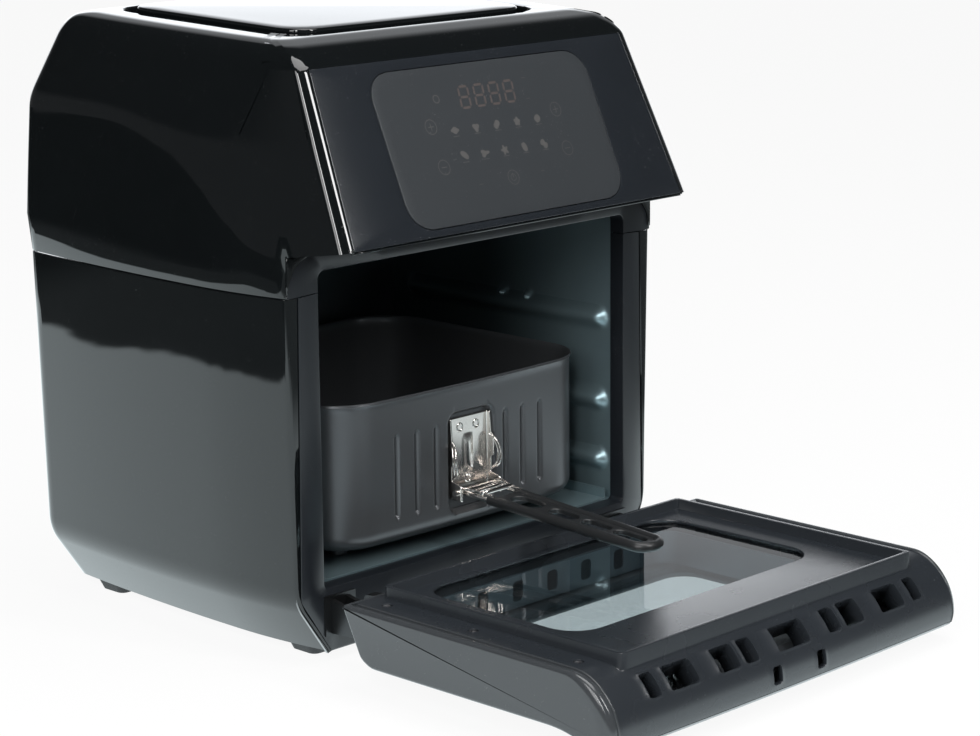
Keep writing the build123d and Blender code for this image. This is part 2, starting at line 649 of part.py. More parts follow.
# Power board on pillars at the back left of the heat shield
board_z = SHIELD_Z + SHIELD_THICK + 10.0
board = block((-112.0, -52.0), (60.0, 150.0), (board_z, board_z + BOARD_THICK))
pillars = []
for x in (-107.0, -57.0):
    for y in (65.0, 145.0):
        pillars.append(drum(3.0, x, y, SHIELD_Z + SHIELD_THICK, board_z))
board_top_z = board_z + BOARD_THICK
relay = block((-100.0, -80.0), (72.0, 88.0), (board_top_z, board_top_z + 15))
capacitor = drum(8.0, -70.0, 84.0, board_top_z, board_top_z + 22)
transformer = block((-104.0, -74.0), (104.0, 132.0), (board_top_z, board_top_z + 20))
node("power_board", board)
node("board_pillars", pillars)
node("board_parts", relay, capacitor, transformer)

# Spit drive in the left wall, turned by a small gear motor behind it
SPIT_RADIUS = 9.0
SOCKET_DEPTH = 6.0
SOCKET_SIDE = 7.0
spit_inner = -LINER_HALF + 6.0
spit_drive = bar_x(SPIT_RADIUS, -LINER_HALF - LINER, spit_inner, SPIT_Y, SPIT_Z)
spit_drive += bar_x(4.0, -LINER_HALF - LINER - 6.0, -LINER_HALF - LINER, SPIT_Y, SPIT_Z)
socket = Box(2 * SOCKET_DEPTH, SOCKET_SIDE, SOCKET_SIDE)
spit_drive -= Pos(spit_inner, SPIT_Y, SPIT_Z) * Rot(45, 0, 0) * socket
node("spit_drive", spit_drive)
spit_x = (-LINER_HALF - LINER - 18.0, -LINER_HALF - LINER)
spit_motor = block(spit_x, (SPIT_Y - 24, SPIT_Y + 24), (SPIT_Z - 24, SPIT_Z + 24))
spit_motor -= bar_x(SPIT_RADIUS + 1.5, spit_x[1] - 1.0, spit_x[1] + 1, SPIT_Y, SPIT_Z)
spit_motor -= bar_x(4.0 + SHAFT_PLAY, spit_x[1] - 6.5, spit_x[1], SPIT_Y, SPIT_Z)
node("spit_motor", spit_motor)

# Door catches: two sprung pins under the overhang, over the slots in the door's end
CATCH_X = 19.7
CATCH_Y = -27.0
CATCH_RADIUS = 2.4
CATCH_HEAD = 3.3
CATCH_HEAD_THICK = 1.5
GUIDE_CAP = 1.2
CATCH_TRAVEL = 2.5
CATCH_TIP_Z = 249.2
CATCH_FLANGE_Z = 255.2
head_top = CATCH_FLANGE_Z + CATCH_HEAD_THICK
guide_z = (UNDERSIDE_Z + WALL, head_top + CATCH_TRAVEL + 0.8 + GUIDE_CAP)
guides = []
for side in (-1, 1):
    x = side * CATCH_X
    bore = CATCH_RADIUS + 0.06
    guide = drum(4.6, x, CATCH_Y, *guide_z)
    guide -= drum(bore, x, CATCH_Y, guide_z[0] - 1, CATCH_FLANGE_Z)
    guide -= drum(CATCH_HEAD + 0.3, x, CATCH_Y, CATCH_FLANGE_Z - 0.3, guide_z[1] - GUIDE_CAP)
    guides.append(guide)
    upper_shell -= drum(bore + 0.2, x, CATCH_Y, 240, UNDERSIDE_Z + WALL + 1)
    pin = drum(CATCH_RADIUS, x, CATCH_Y, CATCH_TIP_Z + 1.5, CATCH_FLANGE_Z)
    pin += Pos(x, CATCH_Y, CATCH_TIP_Z + 0.75) * Cone(1.2, CATCH_RADIUS, 1.5)
    pin += drum(CATCH_HEAD, x, CATCH_Y, CATCH_FLANGE_Z, head_top)
    node("catch_pin_left" if side < 0 else "catch_pin_right", pin)
node("catch_guides", guides)
node("upper_shell", upper_shell)

# Hinge brackets on the front frame, their pins, and the door's arms
ARM_X = (116.0, 124.0)
EAR = 3.0
EAR_GAP = 0.5
EAR_REACH = HINGE_Y - 7.0
ARM_FOOT_Z = 24.0
bracket = block((ARM_X[0] - 8, ARM_X[1] + 8), (-1.5, 0.0), (17.0, 41.0))
for x0 in (ARM_X[0] - EAR_GAP - EAR, ARM_X[1] + EAR_GAP):
    ear = polygon((0.0, 18.0), (0.0, 39.0), (HINGE_Y, HINGE_Z + 7), (EAR_REACH, HINGE_Z), (HINGE_Y, HINGE_Z - 7))
    ear = fillet(ear.vertices().filter_by(lambda v: v.X < HINGE_Y - 3), 5.0)
    bracket += plate_yz(ear, x0, x0 + EAR)
bracket -= bar_x(PIN_RADIUS, ARM_X[0] - 20, ARM_X[1] + 20, HINGE_Y, HINGE_Z)
node("hinge_brackets", pair(bracket))
pin = bar_x(PIN_RADIUS, ARM_X[0] - EAR_GAP - EAR, ARM_X[1] + EAR_GAP + EAR, HINGE_Y, HINGE_Z)
pin += bar_x(PIN_RADIUS + 1.5, ARM_X[1] + EAR_GAP + EAR, ARM_X[1] + EAR_GAP + EAR + 1.5, HINGE_Y, HINGE_Z)
node("hinge_pins", pair(pin))
arm_top = DOOR_FACE_Z - PLATE_THICK
arm_side = polygon(
    (HINGE_Y + 6.5, HINGE_Z - 4), (HINGE_Y + 6.5, HINGE_Z + 5), (HINGE_Y - 2.0, arm_top - 2.0), (-45.0, arm_top),
    (-74.0, arm_top), (-74.0, ARM_FOOT_Z), (-52.0, ARM_FOOT_Z), (HINGE_Y - 6, HINGE_Z - 7), (HINGE_Y, HINGE_Z - 7),
)
arm = plate_yz(arm_side, *ARM_X) - bar_x(PIN_RADIUS + PIN_PLAY, ARM_X[0] - 1, ARM_X[1] + 1, HINGE_Y, HINGE_Z)
node("hinge_arms", pair(arm))

# Door, in three shells of one profile: outside, wall thickness and inner frame
END_CURVE = (-237.5, 40.5)
LIP_CURVE = 7.0


def door_profile(inset):
    """Side outline: the outer face flares out to a lip at the free end, which is also the pull."""
    foot = (DOOR_FOOT_Y - inset, DOOR_FACE_Z - inset)
    heel = (DOOR_HEEL_Y - inset, DOOR_HEEL_Z + inset * 0.6)
    bottom = (DOOR_HEEL_Y - 8 - inset * 0.3, DOOR_OUT_Z + inset)
    flare = (DOOR_FLARE_Y, DOOR_OUT_Z + inset)
    low_end = (DOOR_END_Y + LIP_CURVE, DOOR_LIP_Z + inset)
    bulge = ((flare[0] + low_end[0]) / 2, DOOR_OUT_Z + inset - (DOOR_OUT_Z - DOOR_LIP_Z) / 4)
    end = (DOOR_END_Y + inset, DOOR_LIP_Z + LIP_CURVE + 1.0)
    turn = (DOOR_END_Y + 2.0 + inset * 0.8, DOOR_LIP_Z + 2.2 + inset * 0.8)
    mid = (END_CURVE[0] + inset * 0.75, END_CURVE[1] - inset * 0.7)
    head = (RIM_FAR_Y + 14.0, DOOR_FACE_Z - inset)
    outline = [
        Line(foot, heel), Line(heel, bottom), Line(bottom, flare), ThreePointArc(flare, bulge, low_end),
        ThreePointArc(low_end, turn, end), ThreePointArc(end, mid, head), Line(head, foot),
    ]
    return make_face(outline)


def door_plan(inset):
    """Plan outline: straight hinge edge, square sides, bowed end with rounded corners."""
    half = DOOR_HALF - inset
    end = DOOR_END_Y + inset
    edges = [
        Line((-half, DOOR_FOOT_Y), (half, DOOR_FOOT_Y)),
        Line((half, DOOR_FOOT_Y), (half, end + DOOR_END_BOW)),
        ThreePointArc((half, end + DOOR_END_BOW), (0, end), (-half, end + DOOR_END_BOW)),
        Line((-half, end + DOOR_END_BOW), (-half, DOOR_FOOT_Y)),
    ]
    plan = make_face(edges)
    return fillet(plan.vertices().filter_by(lambda v: v.Y < DOOR_FOOT_Y - 50), DOOR_CORNER - inset)


def door_solid(inset):
    side = plate_yz(door_profile(inset), -DOOR_HALF + inset, DOOR_HALF - inset)
    return side & plate_xy(door_plan(inset), 0, 80)


CAP_WIDTH = 6.0
CAP_X = DOOR_HALF - CAP_WIDTH
door_outer = door_solid(0.0) - door_solid(DOOR_WALL)
LID_GAP = 0.3
LID_FOOT_Z = DOOR_LIP_Z + DOOR_WALL
plate_low = DOOR_FACE_Z - PLATE_THICK


def lid_zone(gap):
    """Where the inner frame lies: the flat plate and the rounded end with the vents."""
    half = CAP_X - gap
    near = DOOR_FOOT_Y - DOOR_WALL - gap
    flat = block((-half, half), (-300, near), (plate_low, 80))
    end = block((-half, half), (-300, RIM_FAR_Y + 14), (LID_FOOT_Z + gap, 80))
    return flat + (end - plate_xy(Pos(0, LIP_CURVE - 2.0) * door_plan(0.0), 0, DOOR_OUT_Z + 2 * DOOR_WALL))


door_outer -= lid_zone(0.0)
OUTER_WINDOW_HALF = WINDOW_HALF - 2.0
OUTER_WINDOW_Y = (-186.0, -72.0)
door_outer -= plate_xy(rounded(OUTER_WINDOW_HALF, *OUTER_WINDOW_Y, 16.0), DOOR_OUT_Z - 1, DOOR_OUT_Z + DOOR_WALL + 1)
for side in (-1, 1):
    arm_slot = sorted((side * (ARM_X[0] - 0.4), side * (ARM_X[1] + 0.4)))
    door_outer -= block(arm_slot, (DOOR_HEEL_Y - 6, DOOR_FOOT_Y + 5), (ARM_FOOT_Z - 1.2, plate_low + 0.4))
PULL_HALF = 62.0
PULL_Y = (-226.0, -204.0)
PULL_DEPTH = 9.0
pull_outer = plate_xy(rounded(PULL_HALF + DOOR_WALL, PULL_Y[0] - DOOR_WALL, PULL_Y[1] + DOOR_WALL, 10.0),
                      DOOR_LIP_Z, DOOR_OUT_Z + PULL_DEPTH + DOOR_WALL)
door_outer += pull_outer & door_solid(DOOR_WALL / 2)
door_outer -= plate_xy(rounded(PULL_HALF, *PULL_Y, 8.0), DOOR_LIP_Z - 1, DOOR_OUT_Z + PULL_DEPTH)
door_lid = (door_solid(0.0) - door_solid(PLATE_THICK)) & lid_zone(LID_GAP)
rim_ring = rounded(RIM_HALF, RIM_FAR_Y, RIM_NEAR_Y, 5.0)
inner_ring = rounded(RIM_HALF - RIM_WALL, RIM_FAR_Y + RIM_WALL, RIM_NEAR_Y - RIM_WALL, 3.0)
door_lid += plate_xy(rim_ring, plate_low, RIM_TOP_Z)
door_lid -= plate_xy(inner_ring, DOOR_FACE_Z, RIM_TOP_Z + 1)
door_lid -= plate_xy(rounded(WINDOW_HALF, WINDOW_FAR_Y, WINDOW_NEAR_Y, WINDOW_CORNER), plate_low - 1, DOOR_FACE_Z + 1)
VENTS = ((0.0, 27.7), (37.0, 11.0), (56.0, 17.0), (93.0, 22.4), (117.0, 9.0))
VENT_TILT = 27.0
VENT_LENGTH = 16.5
VENT_AT = (-241.0, 41.0)
for x, width in VENTS:
    for side in ((1,) if x == 0 else (-1, 1)):
        cutter = Pos(side * x, VENT_AT[0], VENT_AT[1]) * Rot(-VENT_TILT, 0, 0) * Box(width, 30.0, VENT_LENGTH)
        door_lid -= cutter
SLOT_WIDTH = 7.5
SLOT_Z = (17.0, 27.0)
for side in (-1, 1):
    slot = block((side * CATCH_X - SLOT_WIDTH / 2, side * CATCH_X + SLOT_WIDTH / 2), (-255, -236), SLOT_Z)
    door_lid -= slot
    door_outer -= slot
node("door_outer_shell", door_outer)
node("door_inner_frame", door_lid)

pane = rounded(WINDOW_HALF + PANE_LAP, WINDOW_FAR_Y - PANE_LAP, WINDOW_NEAR_Y + PANE_LAP, 6.0)
node("door_inner_glass", plate_xy(pane, plate_low - PANE_THICK, plate_low))
outer_pane = rounded(OUTER_WINDOW_HALF + PANE_LAP, OUTER_WINDOW_Y[0] - PANE_LAP, OUTER_WINDOW_Y[1] + PANE_LAP, 6.0)
outer_pane_z = DOOR_OUT_Z + DOOR_WALL
node("door_outer_glass", plate_xy(outer_pane, outer_pane_z, outer_pane_z + PANE_THICK))

# Glazing channel: a steel ring that keeps the two panes apart, with slots for cooling air
CHANNEL = 1.0
channel_z = (outer_pane_z + PANE_THICK, plate_low - PANE_THICK)
channel_near = WINDOW_NEAR_Y - 4.0
channel_far = WINDOW_FAR_Y + 3.0
ring_out = rounded(WINDOW_HALF - 3, channel_far, channel_near, 14.0)
ring_in = rounded(WINDOW_HALF - 3 - CHANNEL, channel_far + CHANNEL, channel_near - CHANNEL, 13.0)
channel = plate_xy(ring_out - ring_in, *channel_z)
SLOT_PITCH = 30.0
slot_mid = (channel_z[0] + channel_z[1]) / 2
for k in range(-2, 3):
    hole = Pos(k * SLOT_PITCH, slot_mid) * RectangleRounded(9.0, 12.5, 2.5)
    channel -= plate_xz(hole, channel_near - 3, channel_near + 1)
    channel -= plate_xz(hole, channel_far - 1, channel_far + 3)
node("glazing_channel", channel)

DOOR_SCREW_X = DOOR_HALF - 17.0
DOOR_SCREW_Y = (-60.0, -128.0, -206.0)
screws = []
bosses = []
for x in (-DOOR_SCREW_X, DOOR_SCREW_X):
    for y in DOOR_SCREW_Y:
        screws.append(drum(3.0, x, y, DOOR_FACE_Z, DOOR_FACE_Z + 0.9))
        bosses.append(drum(4.0, x, y, DOOR_OUT_Z, plate_low) & door_solid(DOOR_WALL))
node("door_screws", screws)
node("door_bosses", bosses)


# Basket: a deep pressed pan with a flared rim
def basket_plan(inset, front_bow=BASKET_BOW):
    half = BASKET_HALF - inset
    front = BASKET_FRONT_Y + inset
    back = BASKET_BACK_Y - inset
    r = BASKET_CORNER - inset
    turn = r * (1 - cos(pi / 4))
    bow = front + front_bow
    edges = [
        ThreePointArc((-(half - r), bow), (0, front), (half - r, bow)),
        ThreePointArc((half - r, bow), (half - turn, bow + turn), (half, bow + r)),
        Line((half, bow + r), (half, back - r)),
        ThreePointArc((half, back - r), (half - turn, back - turn), (half - r, back)),
        Line((half - r, back), (-(half - r), back)),
        ThreePointArc((-(half - r), back), (-(half - turn), back - turn), (-half, back - r)),
        Line((-half, back - r), (-half, bow + r)),
        ThreePointArc((-half, bow + r), (-(half - turn), bow + turn), (-(half - r), bow)),
    ]
    return make_face(edges)


def pan_solid(inset, z0, z1):
    """The pan's outer form, its bottom edge rounded by three short steps."""
    wires = []
    for rise, draw in ((0.0, 7.0), (1.4, 3.4), (3.8, 1.0), (7.0, 0.0)):
        wires.append((Plane.XY.offset(z0 + rise) * basket_plan(inset + draw)).wires()[0])
    wires.append((Plane.XY.offset(z1) * basket_plan(inset)).wires()[0])
    return Solid.make_loft(wires, ruled=True)


pan = pan_solid(0.0, BASKET_FLOOR_Z, BASKET_RIM_Z)
pan += plate_xy(basket_plan(-RIM_FLARE), BASKET_RIM_Z - 1.4, BASKET_RIM_Z)
pan -= pan_solid(BASKET_WALL, BASKET_FLOOR_Z + BASKET_WALL, BASKET_RIM_Z + 1)
RIB_X = (30.0, 46.0, 62.0)
RIB_Z = (71.0, 124.0)
for x in RIB_X:
    for side in (-1, 1):
        groove = Pos(side * x, (RIB_Z[0] + RIB_Z[1]) / 2) * SlotOverall(RIB_Z[1] - RIB_Z[0], 4.0, rotation=90)
        pan += plate_xz(groove, BASKET_FRONT_Y + 0.4, BASKET_FRONT_Y + BASKET_WALL + 1.6)
        pan -= plate_xz(groove, BASKET_FRONT_Y - 2, BASKET_FRONT_Y + 1.2)
RECESS_HALF = 20.0
RECESS_Z = (66.0, 129.0)
RECESS_DEPTH = 4.5
recess = rounded(RECESS_HALF, *RECESS_Z, 8.0)
recess_back = BASKET_FRONT_Y + RECESS_DEPTH
pan += plate_xz(rounded(RECESS_HALF + 2, RECESS_Z[0] - 2, RECESS_Z[1] + 2, 10.0), BASKET_FRONT_Y + 0.6, recess_back + BASKET_WALL)
pan -= plate_xz(recess, BASKET_FRONT_Y - 3, recess_back)
for row in range(7):
    for column in range(6):
        spot = Pos(-80 + column * 32, 46 + row * 19) * SlotOverall(14.0, 5.0)
        pan -= plate_xy(spot, BASKET_FLOOR_Z - 1, BASKET_FLOOR_Z + BASKET_WALL + 1)
node("basket_pan", pan)
tray_top = liner_floor_z + SEAT + LINER
FEET_GAP = 0.7
BASKET_FEET = ((-78.0, 46.0), (78.0, 46.0), (-78.0, 166.0), (78.0, 166.0))
basket_feet = []
for x, y in BASKET_FEET:
    basket_feet.append(drum(6.0, x, y, tray_top + FEET_GAP, BASKET_FLOOR_Z))
node("basket_feet", basket_feet)

# Handle bracket: a riveted plate with two ears and two lugs that carry the handle's axle
PLATE_HALF = 17.5
PLATE_Z = (75.0, 124.5)
PLATE_SHEET = 1.5
plate_front = recess_back - PLATE_SHEET
bracket_plate = plate_xz(rounded(PLATE_HALF, *PLATE_Z, 2.0), plate_front, recess_back)
lug_y = (HANDLE_Y - 3.6, plate_front + 0.5)
for side in (-1, 1):
    x = sorted((side * PLATE_HALF, side * (PLATE_HALF - PLATE_SHEET)))
    lug = block(x, lug_y, (HANDLE_Z - 5, HANDLE_Z + 5))
    lug -= bar_x(WIRE_RADIUS + PIN_PLAY, x[0] - 1, x[1] + 1, HANDLE_Y, HANDLE_Z)
    ear = block(x, (HANDLE_Y + 2.0, plate_front + 0.5), (97.0, 110.0))
    bracket_plate += lug + ear
for x in (-7.0, 7.0):
    bracket_plate -= bar_y(2.0, x, plate_front - 1, recess_back + 1, 118.0)
node("handle_bracket", bracket_plate)
rivets = []
for x, z in ((-7.0, 118.0), (7.0, 118.0)):
    shank = bar_y(2.0, x, plate_front, recess_back, z)
    rivets.append(shank + bar_y(3.2, x, plate_front - 1.2, plate_front, z))
rivets.append(bar_y(3.2, 0.0, plate_front - 1.2, plate_front, 85.0))
node("bracket_rivets", rivets)


# Handle: a bent wire frame on the lugs, with a moulded grip round its far part
drop_angle = degrees(atan2(HANDLE_DROP, HANDLE_LENGTH))
HANDLE = Pos(0, HANDLE_Y, HANDLE_Z) * Rot(drop_angle, 0, 0)
AXLE_HALF = PLATE_HALF + 2.5
LEG_X = 13.0
GRIP_START = 22.0
wire = bar_x(WIRE_RADIUS, -AXLE_HALF, AXLE_HALF, 0, 0)
for side in (-1, 1):
    wire += bar_y(WIRE_RADIUS - 0.2, side * LEG_X, -GRIP_START, 0, 0)
cross_y = -GRIP_START + 6.0
wire += bar_x(WIRE_RADIUS - 0.4, -LEG_X, LEG_X, cross_y, 0)
node("handle_wire", HANDLE * wire)
GRIP_HALF = (15.2, 12.5)
grip_end = -HANDLE_LENGTH
grip_outline = polygon(
    (-GRIP_HALF[0], -GRIP_START), (GRIP_HALF[0], -GRIP_START), (GRIP_HALF[1], grip_end), (-GRIP_HALF[1], grip_end)
)
far_corners = grip_outline.vertices().filter_by(lambda v: v.Y < grip_end + 1)
grip_outline = fillet(far_corners, GRIP_HALF[1] - 1.0)
near_corners = grip_outline.vertices().filter_by(lambda v: v.Y > -GRIP_START - 1)
grip_outline = fillet(near_corners, 3.0)
GRIP_WINDOWS = ((-42.0, 24.0, 13.0), (-72.0, 22.0, 10.0), (-98.0, 22.0, 9.0), (-124.0, 24.0, 9.0))
for y, length, width in GRIP_WINDOWS:
    grip_outline -= Pos(0, y) * SlotOverall(length, width, rotation=90)
grip = plate_xy(grip_outline, -GRIP_RADIUS, GRIP_RADIUS)
node("handle_grip", HANDLE * grip)

# Drip tray: a thin pan on the cavity's floor, under the basket
TRAY_SIDE_GAP = 4.0
TRAY_HALF = OPEN_HALF - TRAY_SIDE_GAP
TRAY_Y = (RETURN_DEPTH + 0.6, 206.0)
TRAY_RIM = 7.0
tray_z = liner_floor_z + SEAT
tray = block((-TRAY_HALF, TRAY_HALF), TRAY_Y, (tray_z, tray_z + TRAY_RIM))
tray -= block((-TRAY_HALF + LINER, TRAY_HALF - LINER), (TRAY_Y[0] - 1, TRAY_Y[1] - LINER), (tray_z + LINER, tray_z + 20))
node("drip_tray", tray)

for name, solids in nodes.items():
    shape = solids[0] if len(solids) == 1 else Compound(children=solids)
    export_step(shape, f"parts/{name}.step")
print(len(nodes), "nodes")
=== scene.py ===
from math import cos, pi, radians, sin, tau

import bmesh
import bpy
import numpy as np
from mathutils import Matrix, Vector


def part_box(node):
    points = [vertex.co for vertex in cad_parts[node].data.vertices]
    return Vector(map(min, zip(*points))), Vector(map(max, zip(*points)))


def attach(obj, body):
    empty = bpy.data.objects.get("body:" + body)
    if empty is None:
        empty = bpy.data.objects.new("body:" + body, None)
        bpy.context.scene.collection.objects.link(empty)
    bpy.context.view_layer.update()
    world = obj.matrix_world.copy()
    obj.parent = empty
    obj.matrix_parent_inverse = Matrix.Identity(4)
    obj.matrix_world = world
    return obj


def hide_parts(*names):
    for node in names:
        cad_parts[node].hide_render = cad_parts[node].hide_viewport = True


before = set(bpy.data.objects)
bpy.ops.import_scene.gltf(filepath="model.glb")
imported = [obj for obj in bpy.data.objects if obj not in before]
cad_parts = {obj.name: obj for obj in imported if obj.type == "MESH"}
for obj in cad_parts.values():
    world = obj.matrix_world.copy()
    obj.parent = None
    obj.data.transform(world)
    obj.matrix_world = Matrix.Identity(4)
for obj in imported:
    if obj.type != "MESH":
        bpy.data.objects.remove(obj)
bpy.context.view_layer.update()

# Camera
# It stands at the front left, a little above the oven, as the photograph was taken.
# Its lens and place were fitted to the oven's straight edges. It is level but for half a degree.
CAMERA_PLACE = Vector((-1.1866, -1.1582, 0.5261))
CAMERA_AZIMUTH = radians(-45.9)
CAMERA_DOWN = radians(12.6)
CAMERA_ROLL = radians(-0.5)

camera = bpy.data.objects.new("camera", bpy.data.cameras.new("camera"))
bpy.context.scene.collection.objects.link(camera)
camera.data.lens = 103.06
camera.data.sensor_width = 36.0
across = Vector((cos(CAMERA_AZIMUTH), sin(CAMERA_AZIMUTH), 0.0))
behind = Vector((
    sin(CAMERA_AZIMUTH) * cos(CAMERA_DOWN), -cos(CAMERA_AZIMUTH) * cos(CAMERA_DOWN), sin(CAMERA_DOWN)))
upward = behind.cross(across)
tilted_across = across * cos(CAMERA_ROLL) + upward * sin(CAMERA_ROLL)
tilted_upward = upward * cos(CAMERA_ROLL) - across * sin(CAMERA_ROLL)
camera.matrix_world = Matrix.Translation(CAMERA_PLACE) @ Matrix(
    (tilted_across, tilted_upward, behind)).transposed().to_4x4()
bpy.context.scene.camera = camera
bpy.context.scene.view_settings.view_transform = "Standard"

# Casing, lower shell
# One glossy black moulding round the sides and the back, from the bottom chamfer to the seam.
# It is drawn in millimetres, as every piece here is, and its front edge turns in to the front frame.
MM = 0.001
SEAM_Z = 220.6
SEAM_GAP = 0.25
BASE_Z = 7.0
CHAMFER_Z = 41.0
FRONT_HALF = 156.0
BELLY = 7.0
BELLY_Y = 70.0
REAR_Y = 244.5
REAR_CORNER = 16.0
REAR_TAPER = 7.5
WALL = 2.5
EDGE = 0.8


def grid_quads(rows, columns, closed=False):
    """Quads between neighbouring points of a grid kept row by row.
    A closed grid joins its last column to its first."""
    index = np.arange(rows * columns).reshape(rows, columns)
    if closed:
        index = np.concatenate([index, index[:, :1]], axis=1)
    corners = [index[:-1, :-1], index[:-1, 1:], index[1:, 1:], index[1:, :-1]]
    return np.stack(corners, axis=-1).reshape(-1, 4)


def skin(rows, closed=False, flipped=False):
    """Rows of points with the quads between them."""
    rows = np.asarray(rows, float)
    quads = grid_quads(rows.shape[0], rows.shape[1], closed)
    return rows, quads[:, ::-1] if flipped else quads


def capped(rows):
    """Rows closed on themselves, with one face over the last."""
    rows, quads = skin(rows, closed=True)
    count = rows.shape[1]
    return rows, [*quads, range((len(rows) - 1) * count, len(rows) * count)]


def at_height(flat, z):
    """Flat points lifted to a height, one for all of them or one for each."""
    return np.column_stack([flat, np.broadcast_to(z, len(flat))])


def circle(count):
    """Points evenly round the unit circle."""
    turn = np.linspace(0, tau, count, endpoint=False)
    return np.column_stack([np.cos(turn), np.sin(turn)])


def eased(share):
    """The smooth step 3 s^2 - 2 s^3, with s kept within 0 and 1."""
    share = np.clip(share, 0.0, 1.0)
    return share * share * (3 - 2 * share)


def make_piece(name, parts, material, body, replaces=(), edge_angle=38.0):
    """One mesh object from parts, each a pair of points in millimetres and faces. Equal points are merged,
    and the faces are turned outwards. It is smooth but for edges sharper than edge_angle."""
    points, faces, start = [], [], 0
    for part_points, part_faces in parts:
        part_points = np.asarray(part_points, float).reshape(-1, 3)
        points.append(part_points)
        faces.extend([[int(i) + start for i in face] for face in part_faces])
        start += len(part_points)
    mesh = bpy.data.meshes.new(name)
    mesh.from_pydata(np.concatenate(points) * MM, [], faces)
    shaper = bmesh.new()
    shaper.from_mesh(mesh)
    bmesh.ops.remove_doubles(shaper, verts=shaper.verts, dist=0.00002)
    bmesh.ops.dissolve_degenerate(shaper, edges=shaper.edges, dist=0.000005)
    loose = [v for v in shaper.verts if not v.link_faces]
    bmesh.ops.delete(shaper, geom=loose, context="VERTS")
    bmesh.ops.recalc_face_normals(shaper, faces=shaper.faces)
    shaper.to_mesh(mesh)
    shaper.free()
    mesh.polygons.foreach_set("use_smooth", np.ones(len(mesh.polygons), bool))
    mesh.set_sharp_from_angle(angle=radians(edge_angle))
    mesh.materials.append(material)
    piece = bpy.data.objects.new(name, mesh)
    bpy.context.scene.collection.objects.link(piece)
    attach(piece, body)
    if replaces:
        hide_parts(*replaces)
    return piece


def thicken(piece, wall):
    """Gives an open skin its wall, inwards from the drawn face."""
    solid = piece.modifiers.new("wall", "SOLIDIFY")
    solid.thickness = wall * MM
    solid.offset = -1.0
    return piece


def blend_curve(before, corner, after, steps):
    """A quadratic curve that leaves before towards corner and arrives at after: (1-t)^2 b + 2t(1-t) c + t^2
    a."""
    t = np.linspace(0.0, 1.0, steps + 1).reshape((-1,) + (1,) * np.ndim(corner))
    return (1 - t) ** 2 * before + 2 * t * (1 - t) * corner + t ** 2 * after


def rounded_corner(before, corner, after, reach, steps=5):
    """The curve that rounds a corner, starting and ending reach away from it along its two lines."""
    before, corner, after = (np.asarray(p, float) for p in (before, corner, after))
    to_before = before - corner
    to_after = after - corner
    before_length = np.linalg.norm(to_before, axis=-1, keepdims=True) + 1e-9
    after_length = np.linalg.norm(to_after, axis=-1, keepdims=True) + 1e-9
    near = corner + to_before / before_length * np.minimum(reach, 0.5 * before_length)
    far = corner + to_after / after_length * np.minimum(reach, 0.5 * after_length)
    return blend_curve(near, corner, far, steps)


def side_line(y, crease, belly, rear, corner):
    """x along the side, for y from the crease to the rear corner: two parabolas that meet at the belly's
    widest point."""
    swell = (belly[0] - crease[0]) / (belly[1] - crease[1]) ** 2
    taper = (belly[0] - rear[0]) / (rear[1] - corner - belly[1]) ** 2
    before, after = swell * (belly[1] - y) ** 2, taper * (y - belly[1]) ** 2
    return np.where(y < belly[1], belly[0] - before, belly[0] - after)


def side_points(crease, belly, rear, corner, start_y):
    """The side from start_y over the belly and round the rear corner to the middle of the back."""
    y = np.concatenate([np.linspace(start_y, belly[1], 10)[:-1], np.linspace(belly[1], rear[1] - corner, 14)])
    side = np.stack([side_line(y, crease, belly, rear, corner), y], axis=1)
    turn = np.linspace(0, pi / 2, 9)[1:]
    bend = np.stack([rear[0] - corner + corner * np.cos(turn),
                     rear[1] - corner + corner * np.sin(turn)], axis=1)
    back_x = np.linspace(rear[0] - corner, 0.0, 9)[1:]
    back = np.stack([back_x, np.full_like(back_x, rear[1])], axis=1)
    return np.concatenate([side, bend, back])


def both_sides(half, open_front=True):
    """A ring from its right half, which runs from the front to the middle of the back, mirrored to the
    left."""
    mirrored = half[::-1] * np.array([-1.0] + [1.0] * (half.shape[1] - 1))
    return np.concatenate([half, mirrored[1:] if open_front else mirrored[1:-1]])


def lower_ring(z, narrow, strip, inset=0.0):
    """The lower shell's outline at one height: the strip beside the front frame, a rounded corner, the side
    and the back."""
    half = FRONT_HALF - narrow - inset
    crease = (half, 0.0)
    belly = (half + BELLY, BELLY_Y)
    rear = (half + BELLY - REAR_TAPER, REAR_Y - inset)
    start_y = 6.0
    start = (float(side_line(np.array(start_y), crease, belly, rear, REAR_CORNER)), start_y)
    strip = min(strip, half - 1.0)
    front = np.array([(strip, 3.0), (strip, 0.4), (strip + 0.4, 0.0)])
    turn = rounded_corner((strip, 0.0), crease, start, 4.0, 6)
    half_ring = np.concatenate([front, turn, side_points(crease, belly, rear, REAR_CORNER, start_y)])
    return at_height(both_sides(half_ring), z)


def loft_rows(rings, reaches, steps=4):
    """Rows of points through rings of equal length. Each inner ring is a knuckle, rounded over its own
    reach."""
    rows = [rings[0][None]]
    for before, ring, after, reach in zip(rings, rings[1:], rings[2:], reaches):
        rows.append(rounded_corner(before, ring, after, reach, steps))
    rows.append(rings[-1][None])
    return np.concatenate(rows)


